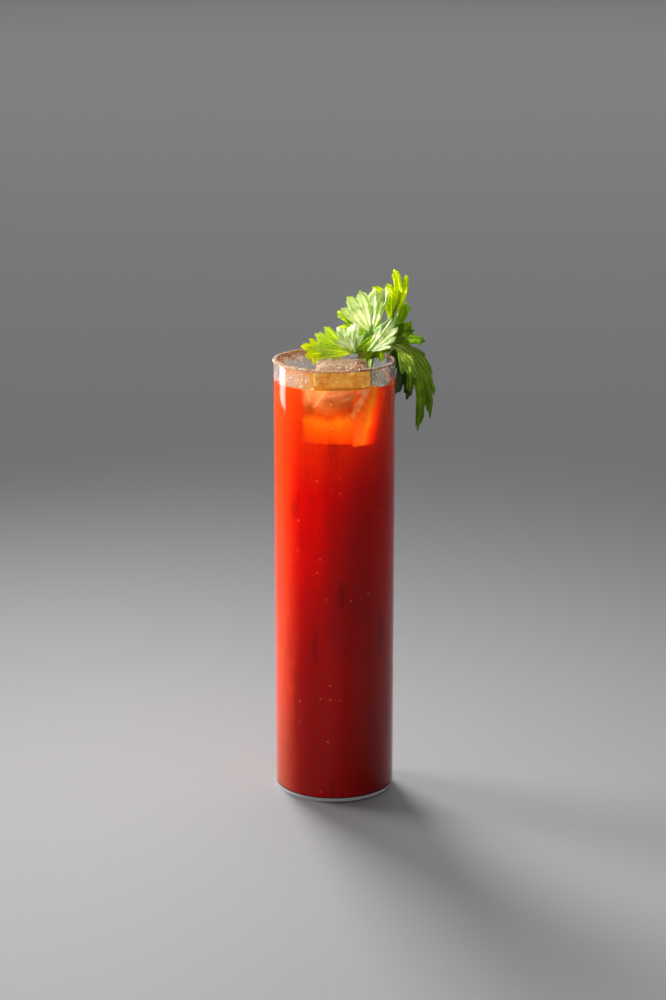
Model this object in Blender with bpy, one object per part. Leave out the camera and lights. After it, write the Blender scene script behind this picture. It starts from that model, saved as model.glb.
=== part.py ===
"""A tall glass of spiced tomato drink with a clear ice spear, a seasoned rim and a leafy celery garnish.

Everything is in millimetres until an object is made, and the axis of the glass is the Z axis, standing on Z = 0.
The drink is seen from -Y. Pieces that touch keep a small gap, so that each one is a closed solid of its own.
"""

import math
import random

import bpy
import bmesh
from mathutils import Euler, Vector

MM = 0.001
CONTACT_GAP = 0.3
MERGE_DISTANCE = 0.0000002

# Driving dimensions of the glass, a straight tumbler of about 360 ml
GLASS_DIAMETER = 52.0
GLASS_HEIGHT = 192.0
GLASS_WALL = 1.3
GLASS_BASE = 2.2
GLASS_FOOT_ROUND = 2.4
GLASS_SIDES = 60

# Driving dimensions of the drink
DRINK_LEVEL = 182.3
MENISCUS_RISE = 1.1
MENISCUS_WIDTH = 2.4

# Driving dimensions of the ice spear, which floats against the front of the glass
ICE_WIDTH = 24.2
ICE_DEPTH = 24.0
ICE_LENGTH = 104.0
ICE_TOP = 189.7
ICE_CENTRE = (3.25, -6.0)
ICE_EDGE_ROUND = 2.6
ICE_WAIST = 0.5
ICE_LEVELS = 6

# Driving dimensions of the salt and pepper
CRUST_THICKNESS = 0.5
CRUST_UNEVENNESS = 0.1
CRUST_OUTER_SKIRT = 1.4
CRUST_INNER_SKIRT = 0.6
RIM_GRAINS = 50
GRAIN_SIZE = (0.55, 0.85)
HEAP_THICKNESS = 1.5
HEAP_MARGIN = 1.3
HEAP_CELLS = 9
HEAP_GRAIN_ROWS = 6
HEAP_GRAIN_SIZE = (0.65, 1.0)

# Driving dimensions of the celery
LEAF_THICKNESS = 0.5
LEAF_RUFFLE = 0.05
STEM_RADII = (1.0, 0.85, 0.7, 0.52, 0.36)
STEM_SHARES = (0.0, 0.2, 0.42, 0.64)
LARGE_LEAF_RINGS = (0.42, 0.74, 1.0)
SMALL_LEAF_RINGS = (0.6, 1.0)
STALK_WIDTH = 9.0
STALK_DEPTH = 5.2
STALK_HOLLOW = 1.7
STALK_FOOT = (10.5, 15.5, 138.0)
STALK_SURFACE = (12.0, 14.5, 182.0)
STALK_NECK = (14.5, 11.5, 194.5)
STALK_HEAD = (16.0, 8.5, 202.0)
STALK_SIDE = (-0.9, 0.55, 0.0)
STALK_TAPER = (1.0, 0.98, 0.96, 0.94, 0.9, 0.84, 0.76, 0.64, 0.48)

INNER_RADIUS = GLASS_DIAMETER / 2 - GLASS_WALL


def clear_scene():
    """Removes every object that the file opens with."""
    for old in list(bpy.data.objects):
        bpy.data.objects.remove(old)


def material(name, colour, roughness, transmission=0.0):
    """A plain surface of the piece's own colour."""
    made = bpy.data.materials.new(name)
    made.use_nodes = True
    shader = made.node_tree.nodes["Principled BSDF"]
    shader.inputs["Base Color"].default_value = (*colour, 1.0)
    shader.inputs["Roughness"].default_value = roughness
    shader.inputs["Transmission Weight"].default_value = transmission
    return made


def object_from(name, bm, finish, smooth=True):
    """Turns a bmesh in millimetres into a named object in metres."""
    bmesh.ops.recalc_face_normals(bm, faces=bm.faces)
    bmesh.ops.scale(bm, vec=(MM, MM, MM), verts=bm.verts)
    mesh = bpy.data.meshes.new(name)
    bm.to_mesh(mesh)
    bm.free()
    mesh.materials.append(finish)
    if smooth:
        mesh.shade_smooth()
        mesh.set_sharp_from_angle(angle=math.radians(40))
    made = bpy.data.objects.new(name, mesh)
    bpy.context.scene.collection.objects.link(made)
    return made


def apply_modifiers(target):
    """Replaces the object's mesh by the mesh that its modifiers give."""
    bpy.context.view_layer.update()
    graph = bpy.context.evaluated_depsgraph_get()
    finished = bpy.data.meshes.new_from_object(target.evaluated_get(graph))
    target.modifiers.clear()
    target.data = finished


def boolean(target, operation, others):
    """Joins others to target, or cuts them from it, and then removes them."""
    group = bpy.data.collections.new(target.name + "_group")
    for other in others:
        group.objects.link(other)
    cut = target.modifiers.new(operation.lower(), "BOOLEAN")
    cut.operation = operation
    cut.operand_type = "COLLECTION"
    cut.collection = group
    cut.solver = "EXACT"
    apply_modifiers(target)
    for other in others:
        bpy.data.objects.remove(other)
    bpy.data.collections.remove(group)


def drop_scraps(target):
    """Keeps the largest body of a joined piece and drops the crumbs that a joint leaves beside it."""
    bm = bmesh.new()
    bm.from_mesh(target.data)
    bmesh.ops.triangulate(bm, faces=bm.faces)
    bmesh.ops.remove_doubles(bm, verts=bm.verts, dist=MERGE_DISTANCE)
    bmesh.ops.dissolve_degenerate(bm, edges=bm.edges, dist=MERGE_DISTANCE)
    bodies = []
    unseen = set(bm.faces)
    while unseen:
        body = []
        front = [unseen.pop()]
        while front:
            face = front.pop()
            body.append(face)
            for edge in face.edges:
                if len(edge.link_faces) == 2:
                    beside = [other for other in edge.link_faces if other in unseen]
                    unseen.difference_update(beside)
                    front.extend(beside)
        bodies.append(body)
    bodies.sort(key=len)
    for body in bodies[:-1]:
        bmesh.ops.delete(bm, geom=body, context="FACES")
    bm.to_mesh(target.data)
    bm.free()


def arc(centre, radius, start, end, steps):
    """Points of an arc in a profile, from one angle to another in degrees."""
    points = []
    for step in range(steps + 1):
        angle = math.radians(start + (end - start) * step / steps)
        points.append((centre[0] + radius * math.cos(angle), centre[1] + radius * math.sin(angle)))
    return points


def turned(name, profile, finish):
    """A solid turned round the Z axis from (radius, height) points, whose ends lie on the axis or are joined."""
    bm = bmesh.new()
    points = [bm.verts.new((radius, 0.0, height)) for radius, height in profile]
    edges = [bm.edges.new(pair) for pair in zip(points, points[1:])]
    if profile[0][0] > 0:
        edges.append(bm.edges.new((points[-1], points[0])))
    full_turn = 2 * math.pi
    bmesh.ops.spin(bm, geom=points + edges, axis=(0, 0, 1), angle=full_turn, steps=GLASS_SIDES, use_merge=True)
    bmesh.ops.remove_doubles(bm, verts=bm.verts, dist=0.001)
    return object_from(name, bm, finish)


def make_glass(finish):
    """The tumbler: a thin straight wall, a rounded foot, a flat base and a fire-polished lip."""
    outer = GLASS_DIAMETER / 2
    lip = GLASS_WALL / 2
    foot_centre = (outer - GLASS_FOOT_ROUND, GLASS_FOOT_ROUND)
    well_round = GLASS_FOOT_ROUND - 0.6
    well_centre = (INNER_RADIUS - well_round, GLASS_BASE + well_round)
    profile = [(0.0, 0.0)]
    profile += arc(foot_centre, GLASS_FOOT_ROUND, -90, 0, 3)
    profile += arc((outer - lip, GLASS_HEIGHT - lip), lip, 0, 180, 4)
    profile += arc(well_centre, well_round, 0, -90, 2)
    profile += [(0.0, GLASS_BASE)]
    return turned("glass", profile, finish)


def make_drink(finish, cutters):
    """The tomato drink: it fills the glass to its level, climbs a little at the wall and goes round what stands in it."""
    radius = INNER_RADIUS - CONTACT_GAP
    floor = GLASS_BASE + CONTACT_GAP
    corner = GLASS_FOOT_ROUND - 0.6
    profile = [(0.0, floor)]
    profile += arc((radius - corner, floor + corner), corner, -90, 0, 2)
    for step in range(3):
        share = step / 2
        height = DRINK_LEVEL + MENISCUS_RISE * (1 - share) ** 2
        profile.append((radius - MENISCUS_WIDTH * share, height))
    profile += [(0.0, DRINK_LEVEL)]
    drink = turned("drink", profile, finish)
    boolean(drink, "DIFFERENCE", cutters)
    return drink


def make_ice(name, finish, grow=0.0):
    """The ice spear: a long square bar with melted edges and a slight waist. grow makes it larger all over."""
    bm = bmesh.new()
    bmesh.ops.create_cube(bm, size=1.0)
    size = (ICE_WIDTH + 2 * grow, ICE_DEPTH + 2 * grow, ICE_LENGTH + 2 * grow)
    bmesh.ops.scale(bm, vec=size, verts=bm.verts)
    upright = [e for e in bm.edges if abs(e.verts[0].co.z - e.verts[1].co.z) > 1]
    bmesh.ops.subdivide_edges(bm, edges=upright, cuts=ICE_LEVELS - 1, use_grid_fill=True)
    upright = [e for e in bm.edges if abs(e.verts[0].co.z - e.verts[1].co.z) > 1 and corner_of(e, size)]
    ends = [e for e in bm.edges if abs(e.verts[0].co.z - e.verts[1].co.z) < 1e-4 and end_of(e, size)]
    bmesh.ops.bevel(
        bm,
        geom=upright + ends,
        offset=ICE_EDGE_ROUND,
        offset_type="OFFSET",
        segments=3,
        profile=0.5,
        affect="EDGES",
    )
    for vertex in bm.verts:
        height = vertex.co.z / ICE_LENGTH + 0.5
        shrink = ICE_WAIST * math.sin(math.pi * height) * 2 / ICE_WIDTH
        vertex.co.x *= 1 - shrink
        vertex.co.y *= 1 - shrink
    middle = ICE_TOP - ICE_LENGTH / 2
    bmesh.ops.translate(bm, vec=(*ICE_CENTRE, middle), verts=bm.verts)
    return object_from(name, bm, finish)


def corner_of(edge, size):
    """True if an edge lies on one of the bar's four upright corners."""
    return all(abs(abs(v.co.x) - size[0] / 2) < 1e-3 and abs(abs(v.co.y) - size[1] / 2) < 1e-3 for v in edge.verts)


def end_of(edge, size):
    """True if an edge lies round the top or the bottom face of the bar."""
    return all(abs(abs(v.co.z) - size[2] / 2) < 1e-3 for v in edge.verts)


def salt_crystal(index, place, size, chance, finish):
    """One coarse crystal or cracked corn of pepper: a small block, turned at random and a little uneven."""
    bm = bmesh.new()
    bmesh.ops.create_cube(bm, size=size)
    for vertex in bm.verts:
        vertex.co *= chance.uniform(0.75, 1.1)
    turn = Euler([chance.uniform(0, math.pi) for _ in range(3)]).to_matrix()
    bmesh.ops.rotate(bm, matrix=turn, verts=bm.verts)
    bmesh.ops.translate(bm, vec=place, verts=bm.verts)
    return object_from(f"crystal_{index}", bm, finish, smooth=False)


def make_rim_seasoning(finish):
    """The salt crust: a rough cap over the lip, lower on the outside, with coarse crystals stuck in it."""
    chance = random.Random(11)
    inner = INNER_RADIUS - CONTACT_GAP
    outer = GLASS_DIAMETER / 2 + CONTACT_GAP
    top = GLASS_HEIGHT + CONTACT_GAP
    section = [
        (inner, GLASS_HEIGHT - CRUST_INNER_SKIRT),
        (inner, top),
        (outer, top),
        (outer, GLASS_HEIGHT - CRUST_OUTER_SKIRT),
        (outer + CRUST_THICKNESS, top - CRUST_THICKNESS),
        (outer + CRUST_THICKNESS * 0.3, top + CRUST_THICKNESS),
        (inner - CRUST_THICKNESS * 0.3, top + CRUST_THICKNESS),
    ]
    crust = turned("rim_seasoning", section, finish)
    for vertex in crust.data.vertices:
        radius = math.hypot(vertex.co.x, vertex.co.y) / MM
        if radius > outer + 0.1 or vertex.co.z / MM > top + 0.1:
            swell = 1 + chance.uniform(-CRUST_UNEVENNESS, CRUST_UNEVENNESS) / radius
            vertex.co.x *= swell
            vertex.co.y *= swell
    crystals = []
    for index in range(RIM_GRAINS):
        angle = 2 * math.pi * (index + chance.uniform(-0.4, 0.4)) / RIM_GRAINS
        size = chance.uniform(*GRAIN_SIZE)
        on_top = index % 2 == 0
        radius = chance.uniform(inner, outer) if on_top else outer + CRUST_THICKNESS * 0.8 + size * 0.2
        height = top + CRUST_THICKNESS + size * 0.2
        if not on_top:
            height = chance.uniform(GLASS_HEIGHT - CRUST_OUTER_SKIRT * 0.5, top)
        place = (radius * math.cos(angle), radius * math.sin(angle), height)
        crystals.append(salt_crystal(index, place, size, chance, finish))
    boolean(crust, "UNION", crystals)
    drop_scraps(crust)
    return crust


def heap_height(edge):
    """How high the heap stands, from its middle (edge 0) to its rim (edge 1)."""
    return HEAP_THICKNESS * (1 - edge ** 6) + 0.25


def make_ice_seasoning(finish):
    """The heap of salt and pepper on the end of the ice: a low mound with coarse crystals all over."""
    chance = random.Random(23)
    floor = ICE_TOP + CONTACT_GAP
    width = ICE_WIDTH - 2 * HEAP_MARGIN
    depth = ICE_DEPTH - 2 * HEAP_MARGIN
    bm = bmesh.new()
    bmesh.ops.create_grid(bm, x_segments=HEAP_CELLS, y_segments=HEAP_CELLS, size=0.5)
    for vertex in bm.verts:
        across, along = vertex.co.x * 2, vertex.co.y * 2
        corner_pull = 1 - 0.09 * (across * along) ** 2
        edge = max(abs(across), abs(along))
        vertex.co.x *= width * corner_pull
        vertex.co.y *= depth * corner_pull
        vertex.co.z = heap_height(edge) + (chance.uniform(-0.2, 0.25) if edge < 0.95 else 0.0)
    border = [edge for edge in bm.edges if edge.is_boundary]
    for item in bmesh.ops.extrude_edge_only(bm, edges=border)["geom"]:
        if isinstance(item, bmesh.types.BMVert):
            item.co.z = 0.0
    bmesh.ops.contextual_create(bm, geom=[edge for edge in bm.edges if edge.is_boundary])
    bmesh.ops.triangulate(bm, faces=[face for face in bm.faces if len(face.verts) > 4])
    bmesh.ops.translate(bm, vec=(*ICE_CENTRE, floor), verts=bm.verts)
    heap = object_from("ice_seasoning", bm, finish)
    crystals = []
    for index in range(HEAP_GRAIN_ROWS ** 2):
        across = ((index % HEAP_GRAIN_ROWS + chance.uniform(0.15, 0.85)) / HEAP_GRAIN_ROWS - 0.5) * 0.94
        along = ((index // HEAP_GRAIN_ROWS + chance.uniform(0.15, 0.85)) / HEAP_GRAIN_ROWS - 0.5) * 0.94
        size = chance.uniform(*HEAP_GRAIN_SIZE)
        height = floor + heap_height(2 * max(abs(across), abs(along))) + size * 0.2
        place = (ICE_CENTRE[0] + across * width, ICE_CENTRE[1] + along * depth, height)
        crystals.append(salt_crystal(index, place, size, chance, finish))
    boolean(heap, "UNION", crystals)
    drop_scraps(heap)
    return heap


def bezier(points, share):
    """A point on the cubic curve through four control points. Past its ends it goes on straight."""
    if share < 0:
        return points[0] + (points[1] - points[0]) * 3 * share
    if share > 1:
        return points[3] + (points[3] - points[2]) * 3 * (share - 1)
    rest = 1 - share
    near = points[0] * rest ** 3 + points[1] * 3 * rest ** 2 * share
    return near + points[2] * 3 * rest * share ** 2 + points[3] * share ** 3


def across_and_out(onward, side):
    """Two directions square to a path: one nearest to side, and one out of the face that they make."""
    onward = onward.normalized()
    across = (side - onward * side.dot(onward)).normalized()
    return across, across.cross(onward)


def tube(name, path, radii, section, side, finish):
    """A closed tube with a section of (across, out) points, swept along a path and tapered."""
    bm = bmesh.new()
    rings = []
    for step, radius in enumerate(radii):
        onward = path[min(step + 1, len(path) - 1)] - path[max(step - 1, 0)]
        across, out = across_and_out(onward, side)
        rings.append([bm.verts.new(path[step] + across * a * radius + out * b * radius) for a, b in section])
    sides = len(section)
    for lower, upper in zip(rings, rings[1:]):
        for place in range(sides):
            after = (place + 1) % sides
            bm.faces.new((lower[place], lower[after], upper[after], upper[place]))
    bm.faces.new(rings[0])
    bm.faces.new(rings[-1])
    bmesh.ops.triangulate(bm, faces=[f for f in bm.faces if len(f.verts) > 4])
    return object_from(name, bm, finish)


def round_section(sides):
    """A round section of radius 1, turned a little so that no corner lies in the middle of a blade."""
    angles = [2 * math.pi * (i + 0.3) / sides for i in range(sides)]
    return [(math.cos(angle), math.sin(angle)) for angle in angles]


def stalk_section(grow=0.0):
    """The crescent of a celery stalk, round and ribbed on the outside and hollowed on the inside."""
    points = []
    ribs = 8
    for step in range(ribs + 1):
        angle = math.pi * step / ribs
        rib = 1 + (0.05 if step % 2 else 0.0)
        across = (STALK_WIDTH / 2 * rib + grow) * math.cos(angle)
        out = (STALK_DEPTH * rib + grow) * math.sin(angle) - STALK_DEPTH / 2 - grow * 0.5
        points.append((across, out))
    inside = 5
    for step in range(1, inside):
        share = step / inside
        across = -(STALK_WIDTH / 2 + grow) + (STALK_WIDTH + 2 * grow) * share
        out = STALK_HOLLOW * math.sin(math.pi * share) - STALK_DEPTH / 2 - grow * 0.5 - grow
        points.append((across, out))
    return points


def make_stalk(name, finish, grow=0.0):
    """The stalk: it stands in the drink behind the ice, bends out to the lip and narrows to its head."""
    points = [Vector(p) for p in (STALK_FOOT, STALK_SURFACE, STALK_NECK, STALK_HEAD)]
    path = [bezier(points, step / (len(STALK_TAPER) - 1)) for step in range(len(STALK_TAPER))]
    return tube(name, path, STALK_TAPER, stalk_section(grow), Vector(STALK_SIDE), finish)


def leaf_outline(leaf):
    """The toothed edge of a leaflet as (angle, reach) points, from its left side to its right side."""
    lobes = leaf["lobes"]
    edge = []
    for place, (angle, reach) in enumerate(lobes):
        left = angle - lobes[place - 1][0] if place else leaf["spread"]
        right = lobes[place + 1][0] - angle if place < len(lobes) - 1 else leaf["spread"]
        if place == 0:
            edge.append((angle - 0.75 * left, 0.45 * reach))
        edge.append((angle - 0.33 * left, 0.88 * reach))
        edge.append((angle - 0.19 * left, 0.84 * reach))
        edge.append((angle, reach))
        edge.append((angle + 0.19 * right, 0.83 * reach))
        edge.append((angle + 0.34 * right, 0.87 * reach))
        if place < len(lobes) - 1:
            edge.append((angle + 0.5 * right, leaf["sinus"] * min(reach, lobes[place + 1][1])))
        else:
            edge.append((angle + 0.75 * right, 0.45 * reach))
    return edge


def leaf_point(leaf, angle, reach):
    """Where a point of the flat leaflet lies once the leaflet is ruffled, curled across and bent along its rib."""
    turn = math.radians(angle)
    across = leaf["length"] * reach * math.sin(turn)
    share = reach * math.cos(turn)
    wave = leaf["length"] * LEAF_RUFFLE * reach ** 2 * math.sin(4.5 * turn + leaf["wave"])
    curl = leaf["curl"][0 if across < 0 else 1] / leaf["length"]
    if abs(curl) > 1e-6:
        lift = (1 - math.cos(curl * across)) / curl
        across = math.sin(curl * across) / curl
    else:
        lift = 0.0
    place = min(share, 1.0)
    onward = bezier(leaf["rib"], place + 0.01) - bezier(leaf["rib"], place - 0.01)
    side, out = across_and_out(onward, leaf["side"])
    return bezier(leaf["rib"], share) + side * across + out * (lift + wave)


def make_leaf(name, leaf, finish):
    """One leaflet: a thin wavy sheet, split into the same triangles on both faces, with its stem and middle rib."""
    edge = leaf_outline(leaf)
    bm = bmesh.new()
    heart = bm.verts.new(leaf_point(leaf, 0.0, 0.0))
    before = None
    for ring in leaf["rings"]:
        row = []
        for place, (angle, reach) in enumerate(edge):
            near = edge[max(place - 1, 0)][1] + edge[min(place + 1, len(edge) - 1)][1]
            soft = (near + reach) / 3
            row.append(bm.verts.new(leaf_point(leaf, angle, ring * (soft + (reach - soft) * ring ** 2))))
        for place in range(len(edge) - 1):
            if before is None:
                bm.faces.new((heart, row[place], row[place + 1]))
            elif (place < len(edge) / 2) == (ring < 1):
                bm.faces.new((before[place], row[place], row[place + 1]))
                bm.faces.new((before[place], row[place + 1], before[place + 1]))
            else:
                bm.faces.new((before[place], row[place], before[place + 1]))
                bm.faces.new((before[place + 1], row[place], row[place + 1]))
        before = row
    blade = object_from(name, bm, finish)
    wall = blade.modifiers.new("thickness", "SOLIDIFY")
    wall.thickness = LEAF_THICKNESS * MM
    wall.offset = 0.0
    apply_modifiers(blade)
    path = [leaf["root"]] + [bezier(leaf["rib"], share) for share in STEM_SHARES]
    stem = tube(name + "_stem", path, STEM_RADII, round_section(5), leaf["side"], finish)
    return [blade, stem]


def leaf_shape(root, base, tip, bow, side, lobes, curl, wave, sinus=0.66, spread=26, rings=SMALL_LEAF_RINGS):
    """The measures of a leaflet. bow is how far the two inner thirds of the rib stand off the line base to tip."""
    base, tip = Vector(base), Vector(tip)
    rib = [base, base.lerp(tip, 1 / 3) + Vector(bow[:3]), base.lerp(tip, 2 / 3) + Vector(bow[-3:]), tip]
    length = sum((bezier(rib, (i + 1) / 8) - bezier(rib, i / 8)).length for i in range(8))
    return {
        "root": Vector(root),
        "rib": rib,
        "side": Vector(side).normalized(),
        "length": length,
        "lobes": lobes,
        "curl": curl,
        "wave": wave,
        "sinus": sinus,
        "spread": spread,
        "rings": rings,
    }


def celery_leaves():
    """The leaflets, named for where they are as the drink is seen from the front."""
    head = STALK_HEAD
    neck = STALK_NECK
    return {
        "top": leaf_shape(
            head, (24.0, 7.0, 207.4), (25.6, 2.0, 231.0), (1.6, -0.5, -1.0, 5.6, -0.8, 0), (0.97, 0.2, 0.1),
            ((-33, 0.9), (-16, 0.8), (-2, 1.0), (8, 0.86)), (0.4, -0.5), 0.4, 0.84, 8, LARGE_LEAF_RINGS),
        "upper_left": leaf_shape(
            head, (15.5, 4.0, 203.0), (15.6, -1.5, 223.8), (0.4, -1.2, 0, 0.6, -1.8, 0), (1, 0.05, 0.1),
            ((-47, 0.9), (-31, 0.99), (-14, 1.0), (3, 0.98), (17, 1.0)), (0.9, 0.3), 2.1, 0.85, 14,
            LARGE_LEAF_RINGS),
        "middle": leaf_shape(
            neck, (14.2, 2.0, 195.5), (25.6, 0.0, 210.3), (0.6, -2.2, -0.4, 0.5, -2.5, -0.4), (0.8, 0.2, -0.6),
            ((-14, 0.68), (0, 1.0), (11, 0.86), (22, 0.7), (36, 0.52)), (0.6, 0.8), 1.2, 0.86, 14),
        "front": leaf_shape(
            head, (19.5, 3.0, 201.0), (13.0, -3.0, 193.6), (0, -2.0, 0.5, 0, -2.2, 0.5), (-0.8, -0.3, 0.5),
            ((-34, 0.66), (0, 1.0), (30, 0.7)), (0.8, 0.6), 0.0, 0.8, 20),
        "spike": leaf_shape(
            neck, (8.8, 3.5, 195.0), (9.2, 0.0, 208.6), (0, -1.0, 0), (1, 0.2, 0),
            ((-30, 0.66), (0, 1.0), (21, 0.62)), (0.7, 0.7), 0.8, 0.72, 14),
        "pale": leaf_shape(
            neck, (8.5, 6.0, 195.5), (2.4, 4.5, 206.0), (-0.6, -1.0, 0.3), (0.9, -0.1, 0.4),
            ((-34, 0.7), (-6, 1.0), (26, 0.92)), (0.7, 0.6), 2.6, 0.78, 18),
        "left": leaf_shape(
            neck, (7.5, 7.5, 193.6), (-7.6, 6.5, 204.0), (-0.4, -1.0, 0.2), (0.6, 0.0, 0.8),
            ((-44, 0.8), (-26, 0.92), (-6, 0.98), (10, 0.9), (28, 0.68), (48, 0.5)),
            (0.5, 0.7), 1.7, 0.84, 18),
        "far_left": leaf_shape(
            neck, (-4.5, 8.5, 193.6), (-14.4, 6.0, 196.8), (-0.3, -0.8, 1.0), (0.35, 0.2, 0.92),
            ((-62, 0.74), (-32, 0.84), (0, 1.0), (25, 0.78), (46, 0.52)), (0.9, 0.8), 0.3, 0.8, 20),
        "right_up": leaf_shape(
            neck, (22.5, 11.0, 196.0), (31.3, 10.0, 215.4), (0.3, 1.0, 0.4), (0.9, 0.25, -0.4),
            ((-17, 0.74), (0, 1.0), (24, 0.68), (46, 0.6)), (-0.5, 0.6), 2.9, 0.8, 16),
        "right": leaf_shape(
            neck, (23.0, 11.5, 196.0), (39.4, 11.0, 198.6), (0.3, 0.5, 2.0, 0.5, 0.5, 2.4), (0.2, 0.45, -0.88),
            ((-44, 0.66), (-20, 0.74), (0, 1.0), (24, 0.64), (50, 0.56)), (-0.4, 0.6), 1.0, 0.82, 20),
        "drape": leaf_shape(
            neck, (25.0, 8.8, 196.6), (39.8, 6.0, 166.0), (4.4, -2.6, 7.8, 7.6, -3.2, 8.2), (-0.64, -0.74, -0.2),
            ((-28, 0.48), (-15, 0.66), (-6, 0.84), (1, 1.0), (13, 1.1), (22, 0.76), (32, 0.5)),
            (-0.8, -0.8), 0.9, 0.88, 10, LARGE_LEAF_RINGS),
        "under": leaf_shape(
            neck, (26.0, 14.5, 195.2), (29.6, 17.0, 170.0), (4.2, 2.5, 3.5, 5.2, 3.0, 2.0), (-0.75, 0.65, 0),
            ((-22, 0.7), (-7, 0.96), (12, 0.98), (36, 0.74)), (-0.5, -0.5), 2.2, 0.78, 18),
        "back": leaf_shape(
            head, (14.0, 14.0, 199.5), (7.0, 22.0, 215.0), (0, -1.5, 1.5), (0.9, 0.3, 0.2),
            ((-52, 0.66), (-26, 0.9), (0, 1.0), (28, 0.88), (56, 0.62)), (-0.6, -0.6), 0.6, 0.76),
    }


def make_celery(finish):
    """The garnish, one solid: the stalk and every leaflet, fused where their stems meet."""
    stalk = make_stalk("celery", finish)
    pieces = []
    for name, leaf in celery_leaves().items():
        pieces += make_leaf("leaf_" + name, leaf, finish)
    boolean(stalk, "UNION", pieces)
    drop_scraps(stalk)
    return stalk


def main():
    clear_scene()
    clear = material("clear_glass", (0.93, 0.97, 0.96), 0.02, transmission=1.0)
    tomato = material("tomato_drink", (0.62, 0.045, 0.008), 0.25)
    frozen = material("clear_ice", (0.92, 0.96, 0.97), 0.08, transmission=1.0)
    green = material("celery_leaf", (0.27, 0.48, 0.03), 0.45)
    salt = material("salt_and_pepper", (0.78, 0.6, 0.48), 0.7)
    make_glass(clear)
    make_ice("ice_spear", frozen)
    around_ice = make_ice("around_ice", frozen, grow=CONTACT_GAP)
    around_stalk = make_stalk("around_stalk", green, grow=CONTACT_GAP)
    make_drink(tomato, [around_ice, around_stalk])
    make_celery(green)
    make_rim_seasoning(salt)
    make_ice_seasoning(salt)


main()
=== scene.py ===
import math
import random

import bmesh
import bpy
import numpy as np
from mathutils import Euler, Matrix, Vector, noise


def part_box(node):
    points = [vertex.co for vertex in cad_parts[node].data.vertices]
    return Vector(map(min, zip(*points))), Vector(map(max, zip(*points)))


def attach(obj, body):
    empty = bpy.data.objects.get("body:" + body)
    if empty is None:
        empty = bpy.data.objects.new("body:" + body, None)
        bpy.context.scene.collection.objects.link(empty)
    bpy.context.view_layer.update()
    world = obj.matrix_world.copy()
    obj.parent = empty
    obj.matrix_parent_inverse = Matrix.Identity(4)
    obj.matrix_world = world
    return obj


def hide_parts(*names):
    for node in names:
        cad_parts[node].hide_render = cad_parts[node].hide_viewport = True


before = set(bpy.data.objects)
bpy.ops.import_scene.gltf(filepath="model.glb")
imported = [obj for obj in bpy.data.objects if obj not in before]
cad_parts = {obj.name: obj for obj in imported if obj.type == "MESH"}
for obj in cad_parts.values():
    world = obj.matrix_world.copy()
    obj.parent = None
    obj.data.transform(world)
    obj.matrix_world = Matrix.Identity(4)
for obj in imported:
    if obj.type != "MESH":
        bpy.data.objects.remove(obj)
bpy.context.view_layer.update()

# The tumbler: a slim straight tube of clear soda-lime glass, closed by a flat foot and about a millimetre thick.
# The lip is fire-polished round, and both corners of the foot are soft, as blown glass leaves its mould.
# It is shaped from one cylinder: the well is sunk from the top, and the edges are rounded last.
MM = 0.001
_, glass_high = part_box("glass")
GLASS_RADIUS = glass_high.x
GLASS_HEIGHT = glass_high.z
GLASS_WALL = 1.3 * MM
GLASS_BASE = 2.2 * MM
GLASS_SIDES = 144
LIP_ROUND = 0.6 * MM
FOOT_ROUND = 2.4 * MM
WELL_ROUND = 1.8 * MM
WELL_RADIUS = GLASS_RADIUS - GLASS_WALL
GLASS_IOR = 1.43
GLASS_TINT, GLASS_GLARE = (0.96, 0.99, 0.975, 1.0), (0.5, 0.5, 0.5, 1.0)
MIST_FROM_DRINK, MIST_TO_LIP = (183 * MM, 185 * MM), (191.5 * MM, 188 * MM)
MIST_AT_LEFT, MIST_AT_RIGHT = (-9 * MM, -15 * MM), (17 * MM, 20 * MM)


def only(piece):
    """Selects one piece and makes it the active one."""
    bpy.ops.object.select_all(action="DESELECT")
    piece.select_set(True)
    bpy.context.view_layer.objects.active = piece


def started(operator, **sizes):
    """Adds a primitive with nothing else selected, puts its place into its mesh and returns it."""
    bpy.ops.object.select_all(action="DESELECT")
    operator(**sizes)
    piece = bpy.context.object
    bpy.ops.object.transform_apply(location=True, rotation=True, scale=True)
    return piece


def pick(kind, test):
    """In edit mode, selects just the faces or edges whose middle passes a test."""
    bpy.ops.mesh.select_mode(type={"faces": "FACE", "edges": "EDGE"}[kind])
    bpy.ops.mesh.select_all(action="DESELECT")
    mesh = bmesh.from_edit_mesh(bpy.context.object.data)
    for part in getattr(mesh, kind):
        middle = sum((corner.co for corner in part.verts), Vector()) / len(part.verts)
        if test(part, middle):
            part.select_set(True)
    mesh.select_flush_mode()
    bmesh.update_edit_mesh(bpy.context.object.data)


def on_ring(edge, middle, height, radius):
    """True if an edge lies on the level ring of that height and radius."""
    level = abs(edge.verts[0].co.z - edge.verts[1].co.z) < 0.001 * MM
    return level and abs(middle.z - height) < 0.01 * MM and abs(math.hypot(middle.x, middle.y) - radius) < 0.2 * MM


def finished(piece, name, materials, replaced=(), smooth_angle=40):
    """Names a piece, shades it, gives it its materials and hands it to the frame."""
    only(piece)
    bpy.ops.object.transform_apply(location=True, rotation=True, scale=True)
    if smooth_angle:
        bpy.ops.object.shade_smooth_by_angle(angle=math.radians(smooth_angle))
    piece.name = piece.data.name = name
    piece.data.materials.clear()
    for material in materials:
        piece.data.materials.append(material)
    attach(piece, "root")
    if replaced:
        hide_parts(*replaced)
    return piece


def new_material(name):
    """A new material, its nodes and its Principled shader."""
    made = bpy.data.materials.new(name)
    made.use_nodes = True
    nodes = made.node_tree.nodes
    return made, nodes, nodes["Principled BSDF"]


def link(source, socket):
    """Wires an output to a socket, or sets the socket to a plain value."""
    if isinstance(source, bpy.types.NodeSocket):
        socket.id_data.links.new(source, socket)
    else:
        socket.default_value = source


def feed(node, **inputs):
    """Feeds a node's inputs by name, with an output or with a plain value."""
    for name, source in inputs.items():
        link(source, node.inputs[name.replace("_", " ")])


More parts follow.
